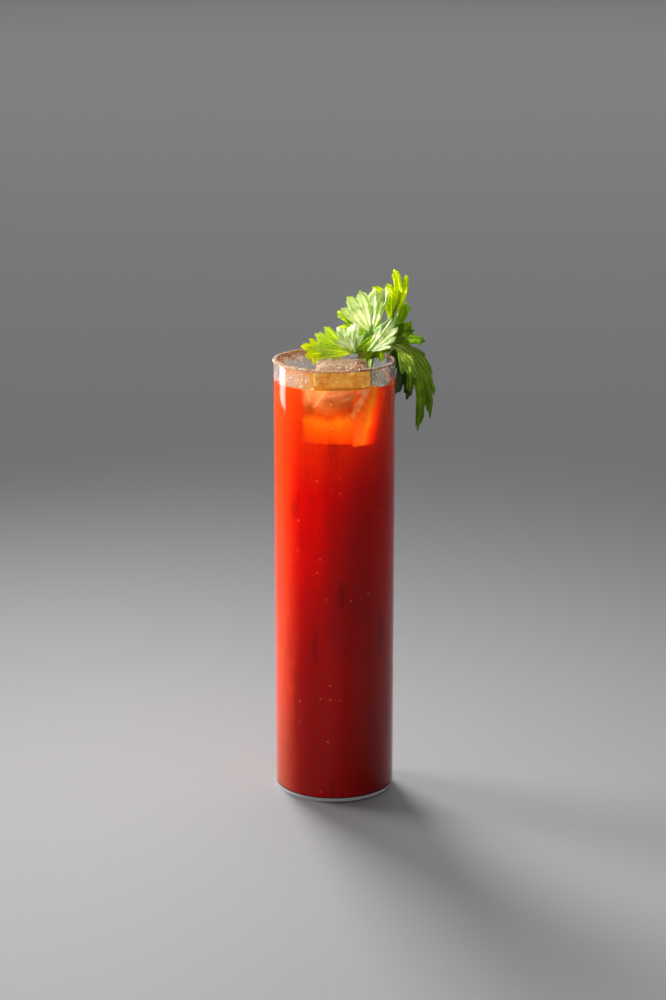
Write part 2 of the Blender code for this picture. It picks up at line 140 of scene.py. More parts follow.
def add(nodes, kind, **inputs):
    """Adds a shader node and feeds its inputs by name. Returns its first output."""
    made = nodes.new("ShaderNode" + kind)
    feed(made, **inputs)
    return made.outputs[0]


def maths(nodes, operation, first, second=0.0, third=0.0):
    """One sum on up to three numbers."""
    made = nodes.new("ShaderNodeMath")
    made.operation = operation
    for socket, source in zip(made.inputs, (first, second, third)):
        link(source, socket)
    return made.outputs[0]


def product(nodes, *masks):
    """All the masks multiplied."""
    whole = masks[0]
    for mask in masks[1:]:
        whole = maths(nodes, "MULTIPLY", whole, mask)
    return whole


def between(nodes, value, low, high, start=0.0, end=1.0):
    """Runs smoothly from start to end while value goes from low to high."""
    made = nodes.new("ShaderNodeMapRange")
    made.interpolation_type = "SMOOTHSTEP"
    feed(made, Value=value, From_Min=low, From_Max=high, To_Min=start, To_Max=end)
    return made.outputs[0]


def blended(nodes, share, first, second, way="MIX"):
    """Two colours mixed by a share."""
    made = nodes.new("ShaderNodeMix")
    made.data_type = "RGBA"
    made.blend_type = way
    link(share, made.inputs[0])
    link(first, made.inputs[6])
    link(second, made.inputs[7])
    return made.outputs[2]


def graded(nodes, value, stops):
    """A colour that follows a value through (place, colour) stops."""
    made = nodes.new("ShaderNodeValToRGB")
    ramp = made.color_ramp.elements
    while len(ramp) < len(stops):
        ramp.new(0.5)
    for stop, (place, colour) in zip(ramp, stops):
        stop.position = place
        stop.color = (*colour, 1.0)
    link(value, made.inputs["Fac"])
    return made.outputs["Color"]


def axes_of(nodes, place):
    """A place as its x, y and z."""
    split = nodes.new("ShaderNodeSeparateXYZ")
    link(place, split.inputs["Vector"])
    return tuple(split.outputs)


def object_axes(nodes):
    """The Object coordinates, whole and as x, y and z."""
    place = nodes.new("ShaderNodeTexCoord").outputs["Object"]
    return (place, *axes_of(nodes, place))


def bumped(nodes, shader, height, depth, strength=1.0):
    """Gives the shader a relief of that depth in metres."""
    link(add(nodes, "Bump", Strength=strength, Distance=depth, Height=height), shader.inputs["Normal"])


def mixed_in(nodes, other, share):
    """Mixes another shader into what is on the surface so far."""
    surface = nodes["Material Output"].inputs["Surface"]
    either = nodes.new("ShaderNodeMixShader")
    link(share, either.inputs["Fac"])
    link(surface.links[0].from_socket, either.inputs[1])
    link(other, either.inputs[2])
    link(either.outputs["Shader"], surface)


def let_lamps_through(nodes, tint, share=1.0):
    """Makes a clear piece cast no dark shadow, so that lamps light what stands behind it or in it."""
    clear = add(nodes, "BsdfTransparent", Color=tint)
    lamp_ray = nodes.new("ShaderNodeLightPath").outputs["Is Shadow Ray"]
    mixed_in(nodes, clear, product(nodes, lamp_ray, share))


def clear_glass(name, clearness, roughness):
    """Clear glass, faintly wavy, with a breath of mist above the drink. Lower clearness makes it milky."""
    made, nodes, shader = new_material(name)
    place, across, _, height = object_axes(nodes)
    mist = add(nodes, "TexNoise", Vector=place, Scale=1300, Detail=3)
    beside_ice = maths(nodes, "MAXIMUM", between(nodes, across, *MIST_AT_LEFT),
                       between(nodes, across, *MIST_AT_RIGHT, 0.0, 0.3))
    misted = product(nodes, between(nodes, height, *MIST_FROM_DRINK), between(nodes, height, *MIST_TO_LIP),
                     beside_ice, between(nodes, mist, 0.4, 0.62, 0.0, -0.2))
    feed(shader, Base_Color=GLASS_TINT, IOR=GLASS_IOR, Specular_Tint=GLASS_GLARE,
         Transmission_Weight=maths(nodes, "ADD", misted, clearness),
         Roughness=between(nodes, mist, 0.45, 0.7, roughness, roughness + 0.08))
    waves = add(nodes, "TexNoise", Vector=place, Scale=60, Detail=1)
    relief = maths(nodes, "ADD", between(nodes, mist, 0.5, 0.7, 0.0, 0.05), waves)
    bumped(nodes, shader, relief, 0.05 * MM, 0.3)
    let_lamps_through(nodes, (0.95, 0.97, 0.96, 1.0))
    return made


def faces_up(face, middle):
    """True if a face looks up."""
    return face.normal.z > 0.9


glass = started(bpy.ops.mesh.primitive_cylinder_add, vertices=GLASS_SIDES, radius=GLASS_RADIUS,
                depth=GLASS_HEIGHT, location=(0, 0, GLASS_HEIGHT / 2))
bpy.ops.object.mode_set(mode="EDIT")
pick("faces", faces_up)
bpy.ops.mesh.inset(thickness=GLASS_WALL)
bpy.ops.mesh.extrude_region_move(TRANSFORM_OT_translate={"value": (0, 0, GLASS_BASE - GLASS_HEIGHT)})
pick("edges", lambda edge, middle: on_ring(edge, middle, GLASS_HEIGHT, GLASS_RADIUS)
     or on_ring(edge, middle, GLASS_HEIGHT, WELL_RADIUS))
bpy.ops.mesh.bevel(offset=LIP_ROUND, segments=5, profile=0.5)
pick("edges", lambda edge, middle: on_ring(edge, middle, 0, GLASS_RADIUS))
bpy.ops.mesh.bevel(offset=FOOT_ROUND, segments=6, profile=0.5)
pick("edges", lambda edge, middle: on_ring(edge, middle, GLASS_BASE, WELL_RADIUS))
bpy.ops.mesh.bevel(offset=WELL_ROUND, segments=5, profile=0.5)
bpy.ops.object.mode_set(mode="OBJECT")
# The outer corner of the foot is made milky so that the lamps light it white: a painted highlight in place of the
# bright line that light bent through the foot makes.
finished(glass, "tumbler", [clear_glass("clear_glass", 1.0, 0.0), clear_glass("milky_foot_highlight", 0.25, 0.12)],
         ["glass"])
for face in glass.data.polygons:
    face.material_index = int(face.center.z < FOOT_ROUND and math.hypot(face.center.x, face.center.y) > WELL_RADIUS)

# The ice spear: a long square bar sawn from a block of clear ice. Melting has rounded its edges and left its
# faces a little uneven. It stands in the front of the glass, and its last seven millimetres are out of the drink.
ice_low, ice_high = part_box("ice_spear")
ICE_EDGE_ROUND = 2.6 * MM
ICE_CELL = 0.8 * MM
ICE_MELT = 0.7 * MM
ICE_MELT_SIZE = 9 * MM
ICE_WAIST = 0.04
ICE_IOR = 1.31
# The ice's tints are painted see-through colour: yellow-green at the top and yellow lower down, standing in for the
# celery and the lit drink seen through the ice.
ICE_TOP_SEEN_THROUGH_TINT, ICE_FOOT_SEEN_THROUGH_TINT = (0.8, 0.98, 0.3, 1), (0.97, 0.93, 0.44, 1)
ICE_STAIN = (0.55, 0.28, 0.08, 1)
DRINK_OVERLAP = 0.12 * MM


def applied(piece, kind, **settings):
    """Adds a modifier with its settings and applies it."""
    only(piece)
    modifier = piece.modifiers.new(kind.lower(), kind)
    for name, value in settings.items():
        setattr(modifier, name, value)
    bpy.ops.object.modifier_apply(modifier=modifier.name)


def clouds(name, size):
    """A soft cloud pattern for a Displace modifier."""
    made = bpy.data.textures.new(name, "CLOUDS")
    made.noise_scale = size
    made.noise_depth = 2
    return made


def clear_ice():
    """Wet clear ice: smooth, with patches of fine frost, with brown stains from the pepper and the drink, and a painted
    tint for the celery and the lit drink seen through it.
    """
    made, nodes, shader = new_material("clear_ice")
    place, _, _, height = object_axes(nodes)
    frost = add(nodes, "TexNoise", Vector=place, Scale=260, Detail=5, Roughness=0.65)
    stains = add(nodes, "TexNoise", Vector=place, Scale=300, Detail=5, Roughness=0.65)
    # Painted see-through colour: yellow-green at the top, yellow lower down.
    colour = blended(nodes, between(nodes, height, 190 * MM, 181 * MM), ICE_TOP_SEEN_THROUGH_TINT, ICE_FOOT_SEEN_THROUGH_TINT)
    colour = blended(nodes, between(nodes, stains, 0.44, 0.62, 0.0, 0.9), colour, ICE_STAIN)
    feed(shader, Base_Color=colour, Transmission_Weight=0.8, IOR=ICE_IOR,
         Roughness=between(nodes, frost, 0.45, 0.68, 0.04, 0.4))
    bumped(nodes, shader, frost, 0.12 * MM, 0.5)
    let_lamps_through(nodes, (0.94, 0.95, 0.94, 1.0))
    return made


ice_middle = (ice_low + ice_high) / 2
ice = started(bpy.ops.mesh.primitive_cube_add, size=1, location=ice_middle, scale=ice_high - ice_low)
bpy.ops.object.mode_set(mode="EDIT")
bpy.ops.mesh.select_all(action="SELECT")
bpy.ops.mesh.bevel(offset=ICE_EDGE_ROUND, segments=4, profile=0.5)
bpy.ops.object.mode_set(mode="OBJECT")
applied(ice, "REMESH", mode="VOXEL", voxel_size=ICE_CELL)
applied(ice, "SMOOTH", factor=0.5, iterations=2)
applied(ice, "DISPLACE", texture=clouds("melt", ICE_MELT_SIZE), strength=ICE_MELT, mid_level=0.6)
for corner in ice.data.vertices:
    share = (corner.co.z - ice_low.z) / (ice_high.z - ice_low.z)
    shrink = 1 - ICE_WAIST * math.sin(math.pi * max(0, min(1, share)))
    corner.co.x = ice_middle.x + (corner.co.x - ice_middle.x) * shrink
    corner.co.y = ice_middle.y + (corner.co.y - ice_middle.y) * shrink
    corner.co.z = min(corner.co.z, ice_high.z)
only(ice)
bpy.ops.object.duplicate()
ice_hollow = bpy.context.object
applied(ice_hollow, "DISPLACE", strength=-DRINK_OVERLAP, mid_level=0.0)
finished(ice, "ice_spear_clear", [clear_ice()], ["ice_spear"], 180)

# The drink: tomato juice with lemon and spices, poured round the ice to a centimetre below the lip. It is thick
# and lets light only a few millimetres in. Light is painted into its side: orange in front of and beside the ice, where
# lamplight comes down through the ice, brighter towards the top and deep red below. Its edge climbs the glass and the
# ice, and its side reaches just into the wall, so that no air shows.
DRINK_LEVEL = 182.3 * MM
DRINK_RADIUS = WELL_RADIUS + DRINK_OVERLAP
DRINK_FLOOR = GLASS_BASE - DRINK_OVERLAP
SURFACE_RINGS = 22
FIRST_RING, RING_GROWTH = 0.35 * MM, 0.07 * MM
CLIMB = 1.1 * MM
CLIMB_REACH = 0.9 * MM
CORNER_CLIMB = 4.0 * MM
# Colours from the foot to the top, and from one edge of a patch to the other, as (share of the way, colour).
# The body's tones are painted light and shade: darker towards the foot, brighter and more orange towards the top, where
# light comes in through the surface and the ice.
BODY_TONES_LIT_FROM_TOP = ((0.0, (0.45, 0.002, 0.001)), (0.35, (0.65, 0.002, 0.001)), (0.65, (0.88, 0.003, 0.001)),
              (0.86, (0.95, 0.004, 0.001)), (0.95, (0.97, 0.04, 0.001)), (1.0, (0.98, 0.08, 0.002)))
# Painted light: the side towards the lamps, orange where lamplight shines into the juice.
LAMP_SIDE_TONES = ((0.0, (0.62, 0.07, 0.006)), (0.2, (0.85, 0.075, 0.005)), (0.6, (0.95, 0.08, 0.003)),
                   (1.0, (0.95, 0.12, 0.003)))
# Painted light: the orange glow in front of the ice, where a beam of lamplight comes down through the ice into the
# juice.
GLOW_BEFORE_ICE_TONES = ((0.0, (0.95, 0.05, 0.001)), (0.3, (1.0, 0.17, 0.002)), (0.5, (1.0, 0.27, 0.01)),
                    (0.66, (0.75, 0.09, 0.005)), (0.8, (0.62, 0.14, 0.03)), (1.0, (0.9, 0.36, 0.16)))
# Painted light: the orange band to the right of the ice, where lamplight comes out of the ice into the juice.
GLOW_BESIDE_ICE_TONES = ((0.0, (1.0, 0.17, 0.02)), (0.45, (1.0, 0.24, 0.03)), (0.7, (1.0, 0.36, 0.03)),
                    (0.85, (1.0, 0.14, 0.004)), (1.0, (0.9, 0.02, 0.001)))
# Painted light: the wall round the ice grows brighter and yellower towards the top, where lamplight comes in.
LIT_ICE_WALL_TONES = ((0.0, (0.7, 0.02, 0.001)), (0.6, (0.95, 0.2, 0.01)), (0.9, (0.7, 0.6, 0.08)),
                  (1.0, (0.62, 0.32, 0.02)))
STREAK_AND_HIGHLIGHT_TONE, FLECK_TONE, CLOUD_TONE = (1.0, 0.62, 0.46, 1), (0.3, 0.06, 0.012, 1), (0.1, 0.001, 0.001, 1)
SWIRL_TONE, BUBBLE_TONE, FROTH_TONE = (0.2, 0.002, 0.001, 1), (1.0, 0.35, 0.16, 1), (1.0, 0.42, 0.14, 1)
CELERY_SHADOW = (0.13, 0.07, 0.008, 1)
# How steeply the painted shadow edge of that band leans.
BEAM_EDGE_LEAN = 0.204
# Pale streaks by the ice as (start, end, width, strength), each end as (across, height). The first is a painted
# highlight along the ice's edge, seen through the juice; the others are pale strokes.
PALE_STREAKS_AND_EDGE_HIGHLIGHT = (((7.6, 172.8), (13.2, 184.5), 1.5, 0.9), ((9.6, 174), (14.2, 183.5), 0.7, 0.7),
                ((-8.6, 176.5), (-3.6, 183.5), 0.9, 0.6), ((3.4, 178.6), (11.6, 183.4), 1.1, 0.5),
                ((-10.2, 179), (-11.2, 184), 0.7, 0.5), ((-2.0, 181.2), (4.0, 182.6), 0.9, 0.5))
# Brown flecks by the ice as (middle, size, strength), and dark clouds lower down as (middle, size).
BROWN_FLECKS = (((-2.4, -24.4, 178.6), (5.2, 9, 3.4), 0.8), ((-9.8, -22.6, 175.5), (2.6, 9, 4.0), 0.6),
                ((6.8, -23.6, 181.0), (4.2, 9, 1.6), 0.5))
DARK_CLOUDS = (((-8.2, -23, 71), (1.6, 5, 13)), ((3.0, -24.3, 94), (2.0, 5, 10)),
               ((19.6, -15, 74), (1.6, 5, 12)), ((-0.6, -24.4, 7), (2.0, 5, 8)))


def climb(x, y):
    """How far the drink climbs above its level, by its distance from the glass and from the ice."""
    from_glass = max(0.0, DRINK_RADIUS - math.hypot(x, y))
    beside = max(ice_low.x - x, x - ice_high.x, 0.0)
    before = max(ice_low.y - y, y - ice_high.y, 0.0)
    from_ice = math.hypot(beside, before)
    rise = CLIMB * (math.exp(-from_glass / CLIMB_REACH) + 0.8 * math.exp(-from_ice / CLIMB_REACH))
    return rise + CORNER_CLIMB * math.exp(-(from_glass + from_ice) / CLIMB_REACH)


def vector_maths(nodes, operation, *sources):
    """One sum on vectors."""
    made = nodes.new("ShaderNodeVectorMath")
    made.operation = operation
    for socket, source in zip(made.inputs, sources):
        link(source, socket)
    return made.outputs["Value" if operation == "LENGTH" else "Vector"]


def patch(nodes, *edges):
    """A soft patch: all its edges multiplied, each as (value, where it starts, where it is full) in millimetres."""
    return product(nodes, *(between(nodes, value, start * MM, full * MM) for value, start, full in edges))


def spot(nodes, place, middle, size):
    """A soft oval mask in the piece's own space, with its middle and its half sizes in millimetres."""
    stretched = nodes.new("ShaderNodeMapping")
    stretched.vector_type = "TEXTURE"
    feed(stretched, Vector=place, Location=Vector(middle) * MM, Scale=Vector(size) * MM)
    return between(nodes, vector_maths(nodes, "LENGTH", stretched.outputs["Vector"]), 1.0, 0.1)


def stirred(nodes, place, reach, scale):
    """The place, moved about by a soft noise, so that an edge drawn in it is uneven."""
    drift = nodes.new("ShaderNodeTexNoise")
    feed(drift, Vector=place, Scale=scale, Detail=4)
    centred = vector_maths(nodes, "SUBTRACT", drift.outputs["Color"], (0.5, 0.5, 0.5))
    return vector_maths(nodes, "MULTIPLY_ADD", centred, (2 * reach,) * 3, place)


def stroke(nodes, across, height, start, end, width):
    """A soft mask along the line between two (across, height) points on the front, in millimetres."""
    start, end = Vector(start), Vector(end)
    onward = (end - start).normalized()
    off = maths(nodes, "MULTIPLY_ADD", height, -onward.x, product(nodes, across, onward.y))
    off = maths(nodes, "ABSOLUTE", maths(nodes, "SUBTRACT", off, (onward.y * start.x - onward.x * start.y) * MM))
    along = maths(nodes, "MULTIPLY_ADD", height, onward.y, product(nodes, across, onward.x))
    first, last = onward.dot(start), onward.dot(end)
    return patch(nodes, (off, width, 0.2 * width), (along, first - width, first + width),
                 (along, last + width, last - width))


def behind_glass(nodes, place, pulp, swirls):
    """The side of the drink: its colour, with lamplight and shade painted in, and how much of it is lit from behind,
    through the ice.
    """
    across, depth, height = axes_of(nodes, stirred(nodes, place, 1.1 * MM, 170))
    _, _, true_height = axes_of(nodes, stirred(nodes, place, 0.5 * MM, 90))
    level = maths(nodes, "MULTIPLY_ADD", swirls, 8 * MM, height)
    # Painted light and shade, from the dark foot to the lit top.
    top_share = between(nodes, level, 0.0, 188 * MM)
    # Painted light: the front left, towards the lamps, is painted orange.
    by_lamp = product(nodes, patch(nodes, (across, -14, -23)), between(nodes, depth, 16 * MM, -6 * MM, 0.3, 1.0))
    colour = blended(nodes, by_lamp, graded(nodes, top_share, BODY_TONES_LIT_FROM_TOP), graded(nodes, top_share, LAMP_SIDE_TONES))
    # Painted light: in front of the ice, the glow of lamplight through the ice, with a sharp lower edge where the beam
    # ends.
    in_front = patch(nodes, (depth, -8, -12))
    before_ice = product(nodes, in_front, patch(nodes, (across, -14.2, -11.6), (across, 8.4, 7.2),
                                                (true_height, 160.3, 161.3)))
    lit = graded(nodes, between(nodes, level, 160 * MM, 188 * MM), GLOW_BEFORE_ICE_TONES)
    colour = blended(nodes, before_ice, colour, lit)
    # Painted light: the band of lamplight beside the ice, cut off by a leaning painted shadow edge.
    slope = maths(nodes, "MULTIPLY_ADD", height, -BEAM_EDGE_LEAN, across)
    beside = product(nodes, in_front, patch(nodes, (across, 7.0, 8.2), (true_height, 158.6, 160.2),
                                            (slope, -14.8, -18.8)))
    lit_beside = graded(nodes, between(nodes, slope, -29 * MM, -16 * MM), GLOW_BESIDE_ICE_TONES)
    colour = blended(nodes, beside, colour, lit_beside)
    broken = between(nodes, pulp, 0.3, 0.6, 0.25, 1.0)
    # The first streak is a painted highlight on the ice's edge; the others are pale strokes.
    for start, end, width, share in PALE_STREAKS_AND_EDGE_HIGHLIGHT:
        pale = product(nodes, in_front, stroke(nodes, across, height, start, end, width), broken, share)
        colour = blended(nodes, pale, colour, STREAK_AND_HIGHLIGHT_TONE)
    ragged = between(nodes, pulp, 0.35, 0.62, 0.3, 1.0)
    for middle, size, share in BROWN_FLECKS:
        colour = blended(nodes, product(nodes, spot(nodes, place, middle, size), ragged, share), colour, FLECK_TONE)
    ragged = between(nodes, pulp, 0.3, 0.6, 0.3, 1.0)
    for middle, size in DARK_CLOUDS:
        colour = blended(nodes, product(nodes, spot(nodes, place, middle, size), ragged, 0.5), colour, CLOUD_TONE)
    through_body = product(nodes, between(nodes, across, -14 * MM, 20 * MM, 1.0, 0.05),
                           between(nodes, height, 60 * MM, 160 * MM, 0.15, 0.38))
    through_ice = product(nodes, maths(nodes, "MAXIMUM", before_ice, beside), 0.85)
    return colour, maths(nodes, "MAXIMUM", through_ice, through_body)


def round_the_ice(nodes, place, pulp, swirls):
    """The drink's open surface and its wall round the ice: painted brighter near the top, where lamplight comes
    through, and painted with the celery's shadow beside it.
    """
    across, _, height = axes_of(nodes, place)
    # Painted light: brighter and yellower towards the top.
    wall = graded(nodes, between(nodes, height, 150 * MM, 182 * MM), LIT_ICE_WALL_TONES)
    colour = blended(nodes, between(nodes, pulp, 0.5, 0.72, 0.0, 0.45), wall, FROTH_TONE)
    by_celery = patch(nodes, (across, 13.5, 16), (height, 179, 182))
    colour = blended(nodes, product(nodes, by_celery, 0.9), colour, CELERY_SHADOW)
    return colour, product(nodes, between(nodes, height, 155 * MM, 181 * MM, 0.1, 0.45),
                           maths(nodes, "SUBTRACT", 1.0, by_celery))


def tomato_juice(name, painted, specular, smoothest, roughest):
    """Tomato juice: thick and wet, with pulp and small bubbles. Near the top, lamplight comes through it orange."""
    made, nodes, shader = new_material(name)
    place, _, _, height = object_axes(nodes)
    pulp = add(nodes, "TexNoise", Vector=place, Scale=420, Detail=6, Roughness=0.7)
    swirl_place = add(nodes, "Mapping", Vector=place, Scale=(1.0, 1.0, 0.28))
    swirls = add(nodes, "TexNoise", Vector=swirl_place, Scale=95, Detail=3, Distortion=0.6)
    colour, from_behind = painted(nodes, place, pulp, swirls)
    mottled = blended(nodes, between(nodes, pulp, 0.35, 0.65), (0.8, 0.7, 0.6, 1), (1.0, 1.0, 1.0, 1))
    colour = blended(nodes, 0.5, colour, mottled, "MULTIPLY")
    colour = blended(nodes, between(nodes, swirls, 0.6, 0.75, 0.0, 0.25), colour, SWIRL_TONE)
    cells = nodes.new("ShaderNodeTexVoronoi")
    feed(cells, Vector=place, Scale=210)
    bubbles = product(nodes, between(nodes, cells.outputs["Distance"], 0.12, 0.06),
                      between(nodes, cells.outputs["Color"], 0.6, 0.75), 0.7)
    colour = blended(nodes, bubbles, colour, BUBBLE_TONE)
    feed(shader, Base_Color=colour, Roughness=between(nodes, pulp, 0.3, 0.7, smoothest, roughest),
         Specular_IOR_Level=specular, Subsurface_Weight=0.6, Subsurface_Radius=(1.0, 0.1, 0.01),
         Subsurface_Scale=4 * MM)
    bumped(nodes, shader, pulp, 0.06 * MM, 0.5)
    mixed_in(nodes, add(nodes, "BsdfTranslucent", Color=colour), from_behind)
    near_top = between(nodes, height, 140 * MM, 178 * MM)
    from_inside = product(nodes, nodes.new("ShaderNodeNewGeometry").outputs["Backfacing"], 0.8)
    let_lamps_through(nodes, blended(nodes, near_top, (1.0, 0.08, 0.02, 1), (1.0, 0.84, 0.5, 1)),
                      maths(nodes, "MAXIMUM", product(nodes, near_top, 0.85), from_inside))
    return made


drink = started(bpy.ops.mesh.primitive_cylinder_add, vertices=GLASS_SIDES, radius=DRINK_RADIUS,
                depth=DRINK_LEVEL - DRINK_FLOOR, location=(0, 0, (DRINK_LEVEL + DRINK_FLOOR) / 2))
bpy.ops.object.mode_set(mode="EDIT")
pick("edges", lambda edge, middle: on_ring(edge, middle, DRINK_FLOOR, DRINK_RADIUS))
bpy.ops.mesh.bevel(offset=WELL_ROUND, segments=5, profile=0.5)
pick("faces", faces_up)
for ring in range(SURFACE_RINGS):
    bpy.ops.mesh.inset(thickness=FIRST_RING + RING_GROWTH * ring)
bpy.ops.object.mode_set(mode="OBJECT")
for corner in drink.data.vertices:
    if corner.co.z > DRINK_LEVEL - 0.01 * MM:
        corner.co.z += climb(corner.co.x, corner.co.y)
applied(drink, "BOOLEAN", operation="DIFFERENCE", object=ice_hollow, solver="EXACT")
bpy.data.objects.remove(ice_hollow)
finished(drink, "tomato_juice", [
    tomato_juice("juice_behind_glass", behind_glass, specular=0.02, smoothest=0.28, roughest=0.5),
    tomato_juice("juice_open_surface", round_the_ice, specular=0.3, smoothest=0.06, roughest=0.18)], ["drink"])
for face in drink.data.polygons:
    inside = math.hypot(face.center.x, face.center.y) < DRINK_RADIUS - 0.2 * MM
    face.material_index = int(inside and face.center.z > DRINK_FLOOR + WELL_ROUND)

# The celery: the leafy head of one stalk. The stalk stands in the drink behind the ice, and its leaflets fan out
# over the lip. A leaflet is a third of a millimetre thick, toothed, and puffed up a little between its veins.
STALK_WIDTH, STALK_DEPTH, STALK_HOLLOW = 9.0, 5.2, 1.7
STALK_FOOT, STALK_SURFACE = (10.5, 15.5, 138.0), (12.0, 14.5, 182.0)
STALK_NECK, STALK_HEAD = (14.5, 11.5, 194.5), (16.0, 8.5, 202.0)
STALK_SIDE = (-0.9, 0.55, 0.0)
STALK_TAPER = (1.0, 0.98, 0.96, 0.94, 0.9, 0.84, 0.76, 0.64, 0.48)
STALK_STEPS = 24
STALK_RIBS = 9
STALK_RIB_RISE = 0.025
STEM_RADII = (1.0, 0.85, 0.7, 0.52, 0.36, 0.12)
STEM_SHARES = (0.0, 0.2, 0.42, 0.64, 0.9)
STEM_STEPS = 14
STEM_SIDES = 10
LEAF_THICKNESS = 0.36
LEAF_RUFFLE = 0.075
LEAF_RINGS = 15
TOOTH_STEPS = 3
LEAF_PUFF = 0.8
EDGE_FRILL = 0.45
LEAF_CRUMPLE, CRUMPLE_SIZE = 0.9, 3.4
TOOTH_SLOPE, LEFT_NOTCH, RIGHT_NOTCH = 0.26, 0.13, 0.14
# The points of a lobe's three teeth as (share of the gap to the next lobe, reach, share of the notch).
TEETH = ((-0.33, 0.97, 0.7), (-0.21, 1, 1), (-0.08, 1, 0.2), (0, 1, 0), (0.08, 1, 0.2), (0.21, 1, 1), (0.34, 0.97, 0.7))
RUFFLE_TURNS, FRILL_TURNS = 4.5, 17
VEIN_WIDTH, VEIN_TAPER = 0.7, 0.5
SIDE_VEIN_GAP, SIDE_VEIN_SLANT = 1.9, 1.25
VEIN_TINT, VEIN_LIMIT = (1.8, 1.5, 4.5, 1), (0.96, 0.99, 0.6, 1)
STREAK_TINT = (0.4, 0.58, 0.18, 1)


def bezier(points, share):
    """A point on the cubic curve through four control points. Past its ends it goes on straight."""
    if share < 0:
        return points[0] + (points[1] - points[0]) * 3 * share
    if share > 1:
        return points[3] + (points[3] - points[2]) * 3 * (share - 1)
    rest = 1 - share
    near = points[0] * rest ** 3 + points[1] * 3 * rest ** 2 * share
    return near + points[2] * 3 * rest * share ** 2 + points[3] * share ** 3


def across_and_out(onward, side):
    """Two directions square to a path: one nearest to side, and one out of the face that they make."""
    onward = onward.normalized()
    across = (side - onward * side.dot(onward)).normalized()
    return across, across.cross(onward)


def leaflet(root, base, tip, bow, side, lobes, curl, wave, colours, sinus=0.66, spread=26):
    """The measures of a leaflet in millimetres, and its colours at the foot and at the edge."""
    base, tip = Vector(base), Vector(tip)
    rib = [base, base.lerp(tip, 1 / 3) + Vector(bow[:3]), base.lerp(tip, 2 / 3) + Vector(bow[-3:]), tip]
    length = sum((bezier(rib, (i + 1) / 8) - bezier(rib, i / 8)).length for i in range(8))
    return {"root": Vector(root), "rib": rib, "side": Vector(side).normalized(), "length": length,
            "lobes": lobes, "curl": curl, "wave": wave, "colours": colours, "sinus": sinus, "spread": spread}


